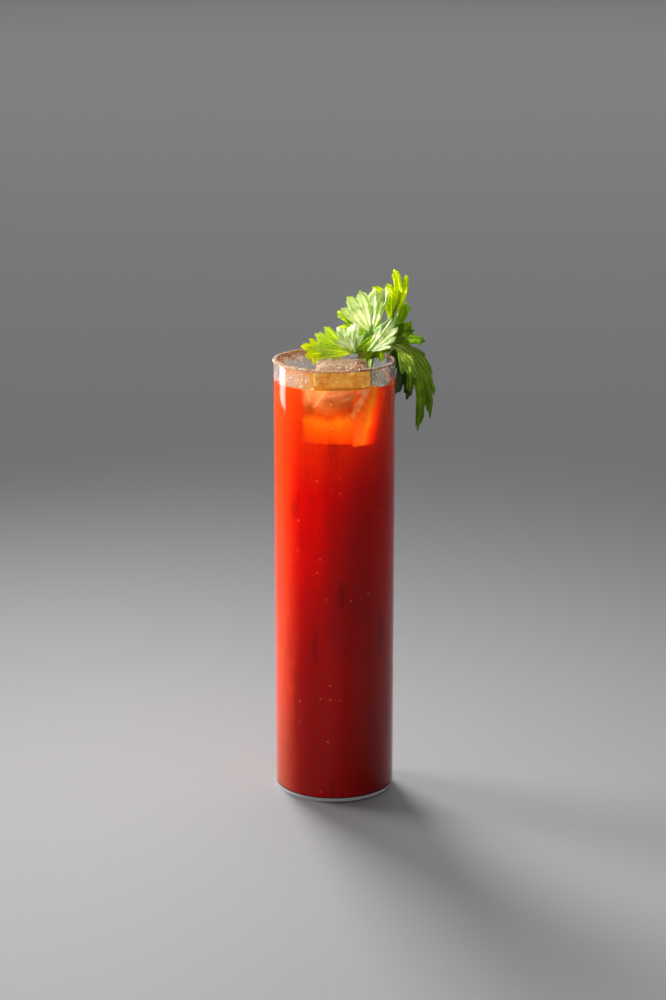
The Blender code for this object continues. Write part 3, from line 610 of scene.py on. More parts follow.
# The white, silver and glossy tints are the leaflets' pale undersides and greens made paler still: painted highlights
# and sheen where light catches them. The darkest tint is painted shade, for the leaflet that hangs under the others.
LIME, BRIGHT, GREEN_WITH_HIGHLIGHT = (0.82, 0.86, 0.006), (0.55, 0.7, 0.008), (0.58, 0.74, 0.06)
MID, MOSS, DEEP, SHADE = (0.27, 0.44, 0.006), (0.1, 0.24, 0.005), (0.13, 0.28, 0.006), (0.008, 0.024, 0.002)
PALE_WITH_SHEEN, PALE_WITH_HIGHLIGHT = (0.82, 0.9, 0.5), (0.98, 0.99, 0.8)
leaflets = {
    "top": leaflet(
        STALK_HEAD, (24.0, 7.0, 207.4), (25.6, 2.0, 231.0), (1.6, -0.5, -1.0, 5.6, -0.8, 0), (0.97, 0.2, 0.1),
        ((-33, 0.9), (-16, 0.8), (-2, 1.0), (8, 0.86)), (0.4, -0.5), 0.4, (BRIGHT, LIME), 0.84, 8),
    "upper_left": leaflet(
        STALK_HEAD, (15.5, 4.0, 203.0), (15.6, -1.5, 223.8), (0.4, -1.2, 0, 0.6, -1.8, 0), (1, 0.05, 0.1),
        ((-47, 0.9), (-31, 0.99), (-14, 1.0), (3, 0.98), (17, 1.0)), (0.9, 0.3), 2.1, (PALE_WITH_HIGHLIGHT, PALE_WITH_SHEEN), 0.85, 14),
    "middle": leaflet(
        STALK_NECK, (14.2, 2.0, 195.5), (25.6, 0.0, 210.3), (0.6, -2.2, -0.4, 0.5, -2.5, -0.4),
        (0.8, 0.2, -0.6), ((-14, 0.68), (0, 1.0), (11, 0.86), (22, 0.7), (36, 0.52)), (0.6, 0.8), 1.2,
        (PALE_WITH_SHEEN, PALE_WITH_HIGHLIGHT), 0.86, 14),
    "front": leaflet(
        STALK_HEAD, (19.5, 4.0, 202.0), (15.2, 5.6, 189.6), (0, -1.6, 0.5, 0, -1.6, 0.5), (-0.95, -0.2, 0.3),
        ((-46, 0.72), (-20, 0.95), (8, 1.0), (40, 0.86)), (0.8, 0.6), 0.0, (BRIGHT, MID), 0.86, 20),
    "spike": leaflet(
        STALK_NECK, (8.8, 3.5, 195.0), (9.2, 0.0, 208.6), (0, -1.0, 0), (1, 0.2, 0),
        ((-30, 0.66), (0, 1.0), (21, 0.62)), (0.7, 0.7), 0.8, (PALE_WITH_HIGHLIGHT, PALE_WITH_HIGHLIGHT), 0.72, 14),
    "pale": leaflet(
        STALK_NECK, (8.5, 6.0, 195.5), (2.4, 4.5, 206.0), (-0.6, -1.0, 0.3), (0.9, -0.1, 0.4),
        ((-34, 0.7), (-6, 1.0), (26, 0.92)), (0.7, 0.6), 2.6, (PALE_WITH_SHEEN, PALE_WITH_HIGHLIGHT), 0.78, 18),
    "left": leaflet(
        STALK_NECK, (7.5, 7.5, 193.6), (-7.6, 6.5, 204.0), (-0.4, -1.0, 0.2), (0.6, 0.0, 0.8),
        ((-44, 0.8), (-26, 0.92), (-6, 0.98), (10, 0.9), (28, 0.68), (48, 0.5)),
        (0.5, 0.7), 1.7, (BRIGHT, GREEN_WITH_HIGHLIGHT), 0.84, 18),
    "far_left": leaflet(
        STALK_NECK, (-4.5, 8.5, 193.6), (-14.4, 6.0, 196.8), (-0.3, -0.8, 1.0), (0.35, 0.2, 0.92),
        ((-62, 0.74), (-32, 0.84), (0, 1.0), (25, 0.78), (46, 0.52)), (0.9, 0.8), 0.3, (BRIGHT, LIME), 0.8, 20),
    "right_up": leaflet(
        STALK_NECK, (22.5, 11.0, 196.0), (31.3, 10.0, 215.4), (0.3, 1.0, 0.4), (0.9, 0.25, -0.4),
        ((-17, 0.74), (0, 1.0), (24, 0.68), (46, 0.6)), (-0.5, 0.6), 2.9, (MID, MID), 0.8, 16),
    "right": leaflet(
        STALK_NECK, (23.0, 11.5, 196.0), (39.4, 11.0, 198.6), (0.3, 0.5, 2.0, 0.5, 0.5, 2.4), (0.2, 0.45, -0.88),
        ((-44, 0.66), (-20, 0.74), (0, 1.0), (24, 0.64), (50, 0.56)), (-0.4, 0.6), 1.0, (MID, DEEP), 0.82, 20),
    "drape": leaflet(
        STALK_NECK, (25.0, 8.8, 196.6), (39.8, 6.0, 166.0), (4.4, -2.6, 7.8, 7.6, -3.2, 8.2),
        (-0.64, -0.74, -0.2),
        ((-28, 0.48), (-15, 0.66), (-6, 0.84), (1, 1.0), (13, 1.1), (22, 0.76), (32, 0.5)),
        (-0.8, -0.8), 0.9, (GREEN_WITH_HIGHLIGHT, MOSS), 0.88, 10),
    "under": leaflet(
        STALK_NECK, (26.0, 14.5, 195.2), (29.6, 17.0, 170.0), (4.2, 2.5, 3.5, 5.2, 3.0, 2.0), (-0.75, 0.65, 0),
        ((-22, 0.7), (-7, 0.96), (12, 0.98), (36, 0.74)), (-0.5, -0.5), 2.2, (SHADE, SHADE), 0.78, 18),
    "back": leaflet(
        STALK_HEAD, (14.0, 14.0, 199.5), (7.0, 22.0, 215.0), (0, -1.5, 1.5), (0.9, 0.3, 0.2),
        ((-52, 0.66), (-26, 0.9), (0, 1.0), (28, 0.88), (56, 0.62)), (-0.6, -0.6), 0.6, (MID, BRIGHT), 0.76),
}


def toothed_edge(leaf):
    """The edge of a leaflet as (angle, reach) points, three teeth to a lobe, from its left side to its right."""
    lobes = leaf["lobes"]
    edge = []
    for place, (angle, reach) in enumerate(lobes):
        left = angle - lobes[place - 1][0] if place else leaf["spread"]
        right = lobes[place + 1][0] - angle if place < len(lobes) - 1 else leaf["spread"]
        left_notch = min(LEFT_NOTCH, TOOTH_SLOPE * math.radians(left))
        right_notch = min(RIGHT_NOTCH, TOOTH_SLOPE * math.radians(right))
        if place == 0:
            edge.append((angle - 0.75 * left, 0.45 * reach))
        for turn, out, notched in TEETH:
            gap, notch = (left, left_notch) if turn < 0 else (right, right_notch)
            edge.append((angle + turn * gap, (out - notch * notched) * reach))
        if place < len(lobes) - 1:
            edge.append((angle + 0.5 * right, leaf["sinus"] * min(reach, lobes[place + 1][1])))
        else:
            edge.append((angle + 0.75 * right, 0.45 * reach))
    return edge


def rounded_edge(edge):
    """The same edge with rounded hollows between its points, as (angle, reach, softened reach)."""
    fine = []
    for place in range(len(edge) - 1):
        before, start = edge[max(place - 1, 0)], edge[place]
        end, after = edge[place + 1], edge[min(place + 2, len(edge) - 1)]
        for step in range(TOOTH_STEPS):
            t = step / TOOTH_STEPS
            reach = 0.5 * (2 * start[1] + (end[1] - before[1]) * t
                           + (2 * before[1] - 5 * start[1] + 4 * end[1] - after[1]) * t ** 2
                           + (3 * start[1] - before[1] - 3 * end[1] + after[1]) * t ** 3)
            fine.append((start[0] + (end[0] - start[0]) * t, reach))
    fine.append(edge[-1])
    softened = []
    for place, (angle, reach) in enumerate(fine):
        near = fine[max(place - TOOTH_STEPS, 0):place + TOOTH_STEPS + 1]
        softened.append((angle, reach, sum(point[1] for point in near) / len(near)))
    return softened


def leaf_point(leaf, angle, reach, puff):
    """Where a point of the flat leaflet lies once the leaflet is puffed, ruffled, curled and bent along its rib."""
    turn = math.radians(angle)
    across = leaf["length"] * reach * math.sin(turn)
    share = reach * math.cos(turn)
    wave = leaf["length"] * LEAF_RUFFLE * reach ** 2 * math.sin(RUFFLE_TURNS * turn + leaf["wave"])
    frill = EDGE_FRILL * reach ** 5 * math.sin(FRILL_TURNS * turn + 3 * leaf["wave"])
    dent = noise.noise((across / CRUMPLE_SIZE, share * leaf["length"] / CRUMPLE_SIZE, 9 * leaf["wave"]))
    frill += LEAF_CRUMPLE * dent * min(2 * reach, 1.0)
    curl = leaf["curl"][0 if across < 0 else 1] / leaf["length"]
    lift = 0.0
    if abs(curl) > 1e-6:
        lift = (1 - math.cos(curl * across)) / curl
        across = math.sin(curl * across) / curl
    place = min(share, 1.0)
    onward = bezier(leaf["rib"], place + 0.01) - bezier(leaf["rib"], place - 0.01)
    side, out = across_and_out(onward, leaf["side"])
    return bezier(leaf["rib"], share) + side * across + out * (lift + wave + frill + puff)


def vein_place(leaf, angle, reach):
    """How far a point lies from the nearest vein, and how far along it, in millimetres."""
    nearest = min(leaf["lobes"], key=lambda lobe: abs(lobe[0] - angle))
    apart = math.radians(angle - nearest[0])
    return leaf["length"] * reach * abs(math.sin(apart)), leaf["length"] * reach * math.cos(apart)


def leaf_sheet(leaf):
    """One leaflet: the points of both faces, its faces, and for each point its vein place and its colour."""
    edge = rounded_edge(toothed_edge(leaf))
    rows, lies = [], []
    for ring in range(LEAF_RINGS + 1):
        share = 0.02 + 0.98 * ring / LEAF_RINGS
        row, lie = [], []
        for angle, reach, soft in edge:
            held = share * (soft + (reach - soft) * share ** 2)
            off_vein, along = vein_place(leaf, angle, held)
            puff = LEAF_PUFF * math.sin(min(off_vein / 2.2, 1.0) * math.pi / 2) * (1 - share ** 4)
            row.append(leaf_point(leaf, angle, held, puff))
            lie.append((off_vein, along, share))
        rows.append(row)
        lies.append(lie)
    sheet = np.array([[tuple(point) for point in row] for row in rows])
    normal = np.cross(np.gradient(sheet, axis=1), np.gradient(sheet, axis=0))
    normal /= np.linalg.norm(normal, axis=2, keepdims=True) + 1e-12
    thick = LEAF_THICKNESS / 2 * (1 - 0.6 * np.linspace(0, 1, LEAF_RINGS + 1) ** 6)[:, None, None]
    wide = len(edge)
    count = wide * (LEAF_RINGS + 1)
    points = np.concatenate([(sheet + normal * thick).reshape(-1, 3), (sheet - normal * thick).reshape(-1, 3)])
    faces = []
    for ring in range(LEAF_RINGS):
        for place in range(wide - 1):
            a = ring * wide + place
            quad = (a, a + 1, a + 1 + wide, a + wide)
            faces.append(quad)
            faces.append(tuple(count + i for i in reversed(quad)))
    border = list(range(wide)) + [wide * ring + wide - 1 for ring in range(1, LEAF_RINGS + 1)]
    border += [wide * LEAF_RINGS + place for place in range(wide - 2, -1, -1)]
    border += [wide * ring for ring in range(LEAF_RINGS - 1, 0, -1)]
    for here, after in zip(border, border[1:] + border[:1]):
        faces.append((after, here, here + count, after + count))
    lie = np.array(lies).reshape(-1, 3)
    lie = np.concatenate([lie, lie])
    foot, edge_colour = np.array(leaf["colours"])
    return points, faces, lie, foot + (edge_colour - foot) * lie[:, 2:] ** 1.5


def tube_points(path, radii, section, side):
    """The points and faces of a closed tube with a section of (across, out) points, swept along a path."""
    rings = []
    for step, radius in enumerate(radii):
        onward = path[min(step + 1, len(path) - 1)] - path[max(step - 1, 0)]
        across, out = across_and_out(onward, side)
        rings.append([tuple(path[step] + across * a * radius + out * b * radius) for a, b in section])
    sides = len(section)
    faces = []
    for ring in range(len(rings) - 1):
        for place in range(sides):
            after = (place + 1) % sides
            low, high = ring * sides, (ring + 1) * sides
            faces.append((low + place, low + after, high + after, high + place))
    faces.append(tuple(reversed(range(sides))))
    faces.append(tuple(range((len(rings) - 1) * sides, len(rings) * sides)))
    return np.array(rings).reshape(-1, 3), faces


def joined(name, parts):
    """One mesh from (points in millimetres, faces) parts, with every closed shell facing outwards."""
    points, faces, start = [], [], 0
    for part_points, part_faces in parts:
        points.append(part_points)
        faces += [tuple(start + corner for corner in face) for face in part_faces]
        start += len(part_points)
    mesh = bpy.data.meshes.new(name)
    mesh.from_pydata((np.concatenate(points) * MM).tolist(), [], faces)
    piece = bpy.data.objects.new(name, mesh)
    bpy.context.scene.collection.objects.link(piece)
    only(piece)
    bpy.ops.object.mode_set(mode="EDIT")
    bpy.ops.mesh.select_all(action="SELECT")
    bpy.ops.mesh.normals_make_consistent(inside=False)
    bpy.ops.object.mode_set(mode="OBJECT")
    return piece


def stored(piece, name, values):
    """Keeps a vector for each point of a piece, for its material to read."""
    attribute = piece.data.attributes.new(name, "FLOAT_VECTOR", "POINT")
    attribute.data.foreach_set("vector", np.asarray(values, np.float32).ravel())


def read(nodes, name):
    """The stored vector of that name."""
    made = nodes.new("ShaderNodeAttribute")
    made.attribute_name = name
    return made.outputs["Vector"]


def celery_blade(name, specular):
    """A celery leaflet: pale veins with side veins, a fine cell texture, a waxy sheen, and light through it."""
    made, nodes, shader = new_material(name)
    place = object_axes(nodes)[0]
    lie = read(nodes, "vein_place")
    off_vein, along, share = axes_of(nodes, lie)
    width = maths(nodes, "SUBTRACT", VEIN_WIDTH, product(nodes, share, VEIN_TAPER))
    main_vein = between(nodes, maths(nodes, "DIVIDE", off_vein, width), 1.0, 0.35)
    slant = maths(nodes, "SUBTRACT", along, product(nodes, off_vein, SIDE_VEIN_SLANT))
    wobble = product(nodes, add(nodes, "TexNoise", Vector=place, Scale=300, Detail=2), 0.8)
    turns = maths(nodes, "DIVIDE", maths(nodes, "ADD", slant, wobble), SIDE_VEIN_GAP)
    from_side_vein = maths(nodes, "ABSOLUTE", maths(nodes, "SUBTRACT", maths(nodes, "FRACT", turns), 0.5))
    side_vein = product(nodes, between(nodes, from_side_vein, 0.1, 0.02), 0.6)
    veins = maths(nodes, "MAXIMUM", main_vein, side_vein)
    tint = read(nodes, "leaf_colour")
    evened = add(nodes, "Mapping", Vector=place, Scale=(130, 130, 130))
    streak_place = vector_maths(nodes, "MULTIPLY_ADD", lie, (0.9, 0.2, 0.0), evened)
    streaks = add(nodes, "TexNoise", Vector=streak_place, Scale=1.0, Detail=4)
    deeper = blended(nodes, 1.0, tint, STREAK_TINT, "MULTIPLY")
    tone = blended(nodes, between(nodes, streaks, 0.42, 0.6, 0.0, 0.85), tint, deeper)
    pale = blended(nodes, 1.0, blended(nodes, 1.0, tint, VEIN_TINT, "MULTIPLY"), VEIN_LIMIT, "DARKEN")
    colour = blended(nodes, veins, tone, pale)
    cells = add(nodes, "TexVoronoi", Vector=place, Scale=1500)
    feed(shader, Base_Color=colour, Roughness=between(nodes, cells, 0.0, 0.6, 0.32, 0.5),
         Specular_IOR_Level=specular, Specular_Tint=(0.8, 0.95, 0.5, 1.0))
    bumped(nodes, shader, maths(nodes, "SUBTRACT", product(nodes, cells, 0.25), veins), 0.16 * MM, 0.8)
    through = blended(nodes, 0.2, colour, (0.8, 0.98, 0.02, 1))
    mixed_in(nodes, add(nodes, "BsdfTranslucent", Color=through), 0.5)
    return made


def celery_stem():
    """A celery stalk: pale green, juicy and ribbed along its length."""
    made, nodes, shader = new_material("celery_stem")
    drawn_out = add(nodes, "Mapping", Vector=object_axes(nodes)[0], Scale=(1, 1, 0.12))
    streaks = add(nodes, "TexNoise", Vector=drawn_out, Scale=700)
    colour = graded(nodes, streaks, ((0.3, (0.14, 0.28, 0.03)), (0.55, (0.24, 0.4, 0.07)), (0.8, (0.42, 0.58, 0.16))))
    feed(shader, Base_Color=colour, Roughness=0.35, Subsurface_Weight=0.4, Subsurface_Radius=(0.6, 1.0, 0.2),
         Subsurface_Scale=1.5 * MM)
    bumped(nodes, shader, streaks, 0.15 * MM, 0.6)
    return made


sheets = [leaf_sheet(leaf) for leaf in leaflets.values()]
blades = joined("celery_blades", [(points, faces) for points, faces, _, _ in sheets])
stored(blades, "vein_place", np.concatenate([lie for _, _, lie, _ in sheets]))
stored(blades, "leaf_colour", np.concatenate([colour for _, _, _, colour in sheets]))
finished(blades, "celery_leaves",
         [celery_blade("celery_blade", 0.35), celery_blade("celery_blade_shaded", 0.03)], ["celery"], 60)
start = 0
for name, (_, faces, _, _) in zip(leaflets, sheets):
    for face in blades.data.polygons[start:start + len(faces)]:
        face.material_index = int(name == "under")
    start += len(faces)

stalk_curve = [Vector(point) for point in (STALK_FOOT, STALK_SURFACE, STALK_NECK, STALK_HEAD)]
stalk_path = [bezier(stalk_curve, step / STALK_STEPS) for step in range(STALK_STEPS + 1)]
stalk_taper = np.interp(np.linspace(0, 1, STALK_STEPS + 1), np.linspace(0, 1, len(STALK_TAPER)), STALK_TAPER)
stalk_section = []
for step in range(4 * STALK_RIBS + 1):
    around = math.pi * step / (4 * STALK_RIBS)
    rib = 1 + STALK_RIB_RISE * (1 - math.cos(math.pi * step / 2))
    stalk_section.append((STALK_WIDTH / 2 * rib * math.cos(around),
                          STALK_DEPTH * rib * math.sin(around) - STALK_DEPTH / 2))
for step in range(1, 10):
    stalk_section.append((STALK_WIDTH * (step / 10 - 0.5),
                          STALK_HOLLOW * math.sin(math.pi * step / 10) - STALK_DEPTH / 2))
turns = [2 * math.pi * step / STEM_SIDES for step in range(STEM_SIDES)]
round_section = [(math.cos(turn), math.sin(turn)) for turn in turns]
stems = [tube_points(stalk_path, stalk_taper, stalk_section, Vector(STALK_SIDE))]
for leaf in leaflets.values():
    knots = [leaf["root"]] + [bezier(leaf["rib"], share) for share in STEM_SHARES]
    places = np.linspace(0, len(knots) - 1, STEM_STEPS)
    path = [Vector([np.interp(place, range(len(knots)), [knot[axis] for knot in knots]) for axis in range(3)])
            for place in places]
    stems.append(tube_points(path, np.interp(places, range(len(knots)), STEM_RADII), round_section, leaf["side"]))
finished(joined("celery_stems", stems), "celery_stalk_and_stems", [celery_stem()], smooth_angle=50)

# The seasoned lip: the rim was wetted and dipped in coarse salt, cracked pepper and chilli. A thin damp crust
# holds the crystals, which stand out in all directions and thin out down the inside of the wall.
CRUST_THICK = 0.75 * MM
CRUST_HEIGHT = 191.75 * MM
CRUST_SIDE = 150
CRUST_MEAN, CRUST_SWING, CRUST_LUMPS = 0.72, 0.26, 0.22
LIP_RADIUS = GLASS_RADIUS - GLASS_WALL / 2
chance = random.Random(7)


def grain_shape(detail, roughness, flatten):
    """The points and faces of one small crystal, a little uneven, one unit across."""
    stone = started(bpy.ops.mesh.primitive_ico_sphere_add, subdivisions=detail, radius=0.5)
    points = np.array([tuple(corner.co * chance.uniform(1 - roughness, 1 + roughness))
                       for corner in stone.data.vertices])
    points[:, 2] *= flatten
    faces = [tuple(face.vertices) for face in stone.data.polygons]
    bpy.data.objects.remove(stone)
    return points, faces


def scattered(name, shapes, places):
    """Copies of a few shapes, turned at random, joined in one mesh. places are (point, size) in millimetres."""
    parts, tones = [], []
    for point, size in places:
        points, faces = chance.choice(shapes)
        turn = np.array(Euler([chance.uniform(0, 2 * math.pi) for _ in range(3)]).to_matrix())
        stretch = np.array([chance.uniform(0.75, 1.25) for _ in range(3)])
        parts.append(((points * size * stretch) @ turn.T + np.array(point), faces))
        tones += [(chance.random(),) * 3] * len(points)
    piece = joined(name, parts)
    stored(piece, "grain_tone", tones)
    return piece


def grain_material(name, tones, roughness, through):
    """Grains of one kind: each has its own tone, and through is how much light passes."""
    made, nodes, shader = new_material(name)
    colour = graded(nodes, axes_of(nodes, read(nodes, "grain_tone"))[0], tones)
    speck = add(nodes, "TexNoise", Vector=object_axes(nodes)[0], Scale=2500, Detail=3)
    colour = blended(nodes, between(nodes, speck, 0.35, 0.7, 0.0, 0.5), colour, (*tones[0][1], 1.0))
    feed(shader, Base_Color=colour, Roughness=between(nodes, speck, 0.3, 0.7, roughness * 0.7, roughness * 1.3),
         Subsurface_Weight=through, Subsurface_Radius=(1.0, 0.7, 0.5), Subsurface_Scale=0.4 * MM)
    bumped(nodes, shader, speck, 0.05 * MM, 0.7)
    return made


def grain_kind(name, tones, look, count, shape):
    """A few shapes of one kind of grain and its material, from its roughness and how much light passes."""
    return [grain_shape(*shape) for _ in range(count)], grain_material(name, tones, *look)


SALT_TONES = ((0.0, (0.42, 0.25, 0.12)), (0.3, (0.6, 0.43, 0.25)), (0.7, (0.72, 0.59, 0.41)),
              (1.0, (0.9, 0.83, 0.7)))
PINK_TONES = ((0.0, (0.42, 0.1, 0.03)), (0.5, (0.62, 0.34, 0.17)), (1.0, (0.76, 0.54, 0.34)))
PEPPER_TONES = ((0.0, (0.012, 0.007, 0.004)), (0.5, (0.06, 0.025, 0.012)), (1.0, (0.3, 0.15, 0.07)))
CHILLI_TONES = ((0.0, (0.28, 0.012, 0.004)), (0.6, (0.6, 0.05, 0.01)), (1.0, (0.8, 0.2, 0.03)))
SALT_SHAPE, PEPPER_SHAPE, CHILLI_SHAPE = (1, 0.25, 0.8), (2, 0.2, 0.7), (2, 0.2, 0.25)
grain_kinds = {
    "white_salt": grain_kind("white_salt", SALT_TONES, (0.3, 0.6), 4, SALT_SHAPE),
    "pink_salt": grain_kind("pink_salt", PINK_TONES, (0.35, 0.5), 4, SALT_SHAPE),
    "pepper": grain_kind("cracked_pepper", PEPPER_TONES, (0.6, 0.0), 3, PEPPER_SHAPE),
    "chilli": grain_kind("chilli_flakes", CHILLI_TONES, (0.4, 0.2), 3, CHILLI_SHAPE),
}


def damp_crust(name, colours):
    """The paste of fine salt and chilli that holds the grains."""
    made, nodes, shader = new_material(name)
    fine = add(nodes, "TexNoise", Vector=object_axes(nodes)[0], Scale=1300, Detail=5, Roughness=0.7)
    feed(shader, Base_Color=graded(nodes, fine, colours), Roughness=between(nodes, fine, 0.3, 0.7, 0.25, 0.6),
         Subsurface_Weight=0.4, Subsurface_Radius=(1.0, 0.5, 0.3), Subsurface_Scale=0.5 * MM)
    bumped(nodes, shader, fine, 0.25 * MM, 0.9)
    return made


def crust_share(round_glass):
    """How much crust holds to the lip there: it is thickest at the left and the back."""
    lumps = CRUST_LUMPS * noise.noise((math.cos(round_glass) * 4, math.sin(round_glass) * 4, 1.0))
    return CRUST_MEAN + CRUST_SWING * math.cos(round_glass - math.radians(CRUST_SIDE)) + lumps


crust = started(bpy.ops.mesh.primitive_torus_add, major_radius=LIP_RADIUS, minor_radius=CRUST_THICK,
                major_segments=360, minor_segments=14, location=(0, 0, CRUST_HEIGHT))
for corner in crust.data.vertices:
    round_glass = math.atan2(corner.co.y, corner.co.x)
    middle = Vector((LIP_RADIUS * math.cos(round_glass), LIP_RADIUS * math.sin(round_glass), CRUST_HEIGHT))
    corner.co = middle.lerp(corner.co, crust_share(round_glass))
applied(crust, "DISPLACE", texture=clouds("crust_lumps", 0.6 * MM), strength=0.8 * MM, mid_level=0.5)
finished(crust, "rim_crust", [damp_crust("rim_paste", (
    (0.3, (0.36, 0.11, 0.05)), (0.5, (0.72, 0.44, 0.28)), (0.7, (0.9, 0.72, 0.54))))], ["rim_seasoning"], 180)


UP_THE_CRUST, CRUST_SCATTER, LIP_TOP = 70, 75, 193.3
WALL_SIDE, WALL_SCATTER, WALL_TOP = 155, 42, 191.2
USUAL_DROP, LONGEST_DROP = 1.6, 5.5


def on_lip(size):
    """A place for a grain on the crust, most often where the crust is thick."""
    round_glass = chance.uniform(0, 2 * math.pi)
    while chance.random() > crust_share(round_glass) ** 2:
        round_glass = chance.uniform(0, 2 * math.pi)
    round_crust = math.radians(chance.gauss(UP_THE_CRUST, CRUST_SCATTER))
    thick = CRUST_THICK * crust_share(round_glass)
    out = LIP_RADIUS + thick * math.cos(round_crust)
    height = CRUST_HEIGHT + thick * math.sin(round_crust)
    return (out * math.cos(round_glass) / MM, out * math.sin(round_glass) / MM, min(height / MM, LIP_TOP - size / 2))


def down_the_wall(size):
    """A place for a grain on the inside of the wall, mostly at the left and the back."""
    round_glass = math.radians(chance.gauss(WALL_SIDE, WALL_SCATTER))
    drop = min(abs(chance.gauss(0, USUAL_DROP)), LONGEST_DROP)
    out = WELL_RADIUS / MM - size * 0.3
    return (out * math.cos(round_glass), out * math.sin(round_glass), WALL_TOP - drop)


def seasoned(start, grains, place_for):
    """Scatters every kind of grain. place_for finds a place for a grain, from its kind, its number and its size."""
    for kind, (count, small, large) in grains.items():
        shapes, material = grain_kinds[kind]
        places = []
        for index in range(count):
            size = chance.uniform(small, large)
            places.append((place_for(kind, index, size), size))
        finished(scattered(start + kind, shapes, places), start + kind, [material], smooth_angle=0)


WALL_EVERY = 5
RIM_GRAINS = {"white_salt": (620, 0.4, 1.05), "pink_salt": (560, 0.35, 0.95), "pepper": (130, 0.3, 0.8),
              "chilli": (170, 0.35, 0.85)}
seasoned("rim_", RIM_GRAINS,
         lambda kind, index, size: on_lip(size) if index % WALL_EVERY else down_the_wall(size))

# The seasoned end of the ice: the same salt, pepper and chilli, pressed on the wet top of the spear as a low heap.
# Its damp foot has drawn up some of the drink, so it is redder along its edge.
heap_low, heap_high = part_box("ice_seasoning")
HEAP_CELLS = 70
HEAP_THICKNESS = 1.5 * MM
heap_middle = (heap_low + heap_high) / 2
heap_size = heap_high - heap_low


def heap_top(across, along):
    """The height of the heap's surface over its foot, for places from -1 to 1 across and along it."""
    edge = max(abs(across), abs(along))
    lumps = 0.28 * noise.noise((across * 9, along * 9, 2.0)) + 0.16 * noise.noise((across * 23, along * 23, 5.0))
    return HEAP_THICKNESS * (1 - edge ** 5) + 0.2 * MM + lumps * MM * (1 - edge ** 8)


heap = started(bpy.ops.mesh.primitive_grid_add, x_subdivisions=HEAP_CELLS, y_subdivisions=HEAP_CELLS, size=2)
for corner in heap.data.vertices:
    across, along = corner.co.x, corner.co.y
    pull = 1 - 0.09 * (across * along) ** 2
    corner.co = (heap_middle.x + across * pull * heap_size.x / 2, heap_middle.y + along * pull * heap_size.y / 2,
                 heap_low.z + heap_top(across, along))
bpy.ops.object.mode_set(mode="EDIT")
bpy.ops.mesh.select_all(action="SELECT")
bpy.ops.mesh.region_to_loop()
bpy.ops.mesh.extrude_region_move()
bpy.ops.transform.resize(value=(1, 1, 0), center_override=(heap_middle.x, heap_middle.y, heap_low.z - 0.3 * MM))
bpy.ops.mesh.edge_face_add()
bpy.ops.mesh.select_all(action="SELECT")
bpy.ops.mesh.normals_make_consistent(inside=False)
bpy.ops.object.mode_set(mode="OBJECT")
finished(heap, "ice_top_crust", [damp_crust("heap_paste", (
    (0.3, (0.36, 0.1, 0.03)), (0.5, (0.62, 0.4, 0.22)), (0.7, (0.78, 0.6, 0.4))))], ["ice_seasoning"], 180)


def on_heap(size):
    """A place for a grain on the heap."""
    across, along = chance.uniform(-1.0, 1.0), chance.uniform(-1.0, 1.0)
    height = heap_low.z + heap_top(across, along)
    return ((heap_middle.x + across * heap_size.x / 2) / MM, (heap_middle.y + along * heap_size.y / 2) / MM,
            height / MM + size * 0.15)


def on_wet_edge(size):
    """A place for a wet flake along the front foot of the heap, next to the glass."""
    across = chance.uniform(-1.0, 1.0)
    return ((heap_middle.x + across * heap_size.x / 2) / MM, heap_low.y / MM + size * 0.2,
            heap_low.z / MM + chance.uniform(0.1, 0.9))


WET_EVERY = 3
HEAP_GRAINS = {"white_salt": (900, 0.45, 1.1), "pink_salt": (1000, 0.4, 1.0), "pepper": (150, 0.35, 1.0),
               "chilli": (260, 0.4, 1.0)}
seasoned("heap_", HEAP_GRAINS, lambda kind, index, size: on_wet_edge(size)
         if kind == "chilli" and index % WET_EVERY == 0 else on_heap(size))

# The condensation: small beads of water on the inside of the wall above the cold drink, a seventh of a millimetre
# to half a millimetre across and half sunk in the wall. There are none where the ice stands close behind it.
DROP_TRIES = 2400
DROP_SIZES = (0.14, 0.5)
DROP_BAND = (184.0, 191.0)
WATER_IOR = 1.33


def water():
    """Fine beads of water, which look frosty."""
    made, nodes, shader = new_material("water_drops")
    frost = add(nodes, "TexNoise", Vector=object_axes(nodes)[0], Scale=1500)
    feed(shader, Base_Color=(1, 1, 1, 1), Transmission_Weight=0.72, IOR=WATER_IOR,
         Roughness=between(nodes, frost, 0.3, 0.7, 0.02, 0.15))
    let_lamps_through(nodes, (0.95, 0.95, 0.95, 1.0))
    return made


drop_shape = grain_shape(2, 0.03, 1.0)
drops = []
out = WELL_RADIUS / MM
for _ in range(DROP_TRIES):
    size = DROP_SIZES[0] + (DROP_SIZES[1] - DROP_SIZES[0]) * chance.random() ** 3
    around = chance.uniform(0, 2 * math.pi)
    height = DROP_BAND[0] + (DROP_BAND[1] - DROP_BAND[0]) * chance.random() ** 1.3
    across, along = out * math.cos(around), out * math.sin(around)
    before_ice = along < 0 and ice_low.x / MM - 1 < across < ice_high.x / MM
    if not before_ice:
        drops.append(((across, along, height), size))
finished(scattered("condensation", [drop_shape], drops), "condensation", [water()], smooth_angle=180)

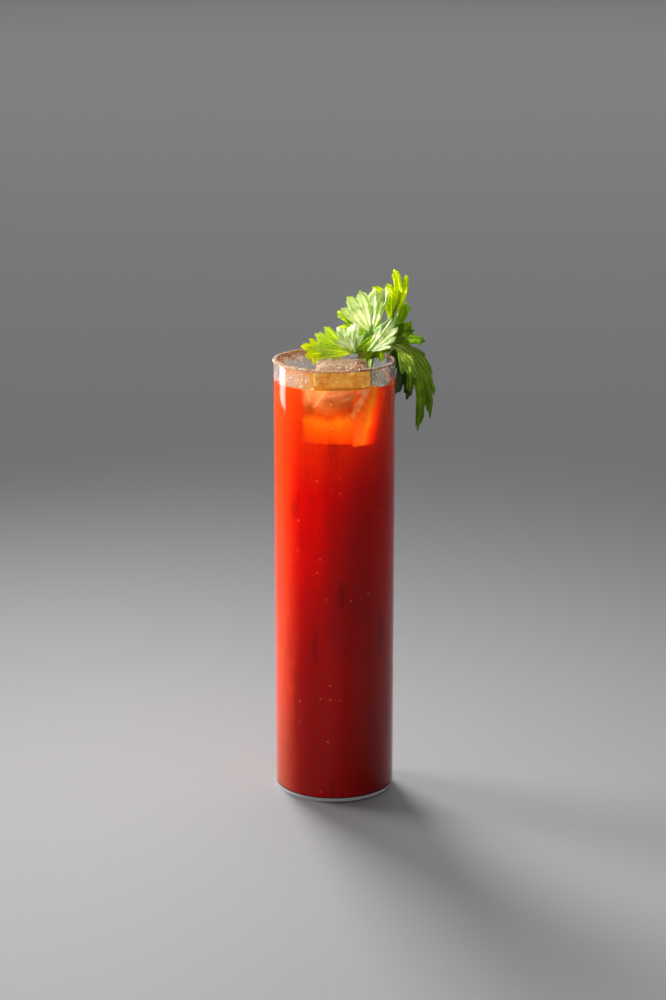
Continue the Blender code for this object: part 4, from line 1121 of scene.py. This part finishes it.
# The studio: a plain pale floor under soft lamps. One stands low at the left, one higher there and one behind. A
# small one at the front left picks out the leaves, and a wide one hangs over the floor far behind.
FLOOR_RADIUS = 60.0
FLOOR_TONE = (0.3, 0.3, 0.305, 1)
ROOM_LIGHT, ROOM_STRENGTH = (0.98, 0.99, 1.0, 1), 0.25
CAMERA_PLACE = (-0.00063, -0.96613, 0.37834)
CAMERA_TILT = 75.596
CAMERA_LENS, SENSOR_HEIGHT = 82.87, 36
# Each lamp's place, the point that it faces, its width and height in metres, its power, and its spread in degrees.
LAMPS = {"edge_lamp": ((-0.42, 0.19, 0.16), (0, 0, 0.11), (0.2, 0.1), 0.08, 40),
         "side_lamp": ((-0.8, 0.36, 0.42), (0, 0, 0.17), (0.4, 0.5), 0.9, 60),
         "back_lamp": ((-0.45, 1.0, 1.0), (0, 0, 0.19), (0.5, 0.5), 1.5, 40),
         "leaf_lamp": ((-0.75, -0.45, 0.45), (0.012, 0, 0.216), (0.05, 0.05), 0.028, 4.5),
         "far_lamp": ((0, 6, 4), (0, 6, 0), (9, 9), 160, 180)}
floor_material, _, floor_shader = new_material("pale_floor")
feed(floor_shader, Base_Color=FLOOR_TONE, Roughness=0.6)
floor = started(bpy.ops.mesh.primitive_circle_add, vertices=96, radius=FLOOR_RADIUS, fill_type="NGON")
floor.name = "floor"
floor.data.materials.append(floor_material)


for name, (lamp_place, aim, size, power, spread) in LAMPS.items():
    data = bpy.data.lights.new(name, "AREA")
    data.shape = "RECTANGLE"
    data.size, data.size_y = size
    data.energy = power
    data.spread = math.radians(spread)
    lamp = bpy.data.objects.new(name, data)
    lamp.location = lamp_place
    lamp.rotation_euler = (Vector(aim) - Vector(lamp_place)).to_track_quat("-Z", "Y").to_euler()
    lamp.visible_camera = False
    bpy.context.scene.collection.objects.link(lamp)
world = bpy.data.worlds.new("soft_room")
world.use_nodes = True
feed(world.node_tree.nodes["Background"], Color=ROOM_LIGHT, Strength=ROOM_STRENGTH)
bpy.context.scene.world = world
camera_data = bpy.data.cameras.new("camera")
camera_data.sensor_fit = "VERTICAL"
camera_data.sensor_height = SENSOR_HEIGHT
camera_data.lens = CAMERA_LENS
camera = bpy.data.objects.new("camera", camera_data)
camera.location = CAMERA_PLACE
camera.rotation_euler = (math.radians(CAMERA_TILT), 0, 0)
bpy.context.scene.collection.objects.link(camera)
bpy.context.scene.camera = camera
bpy.context.scene.view_settings.view_transform = "Standard"
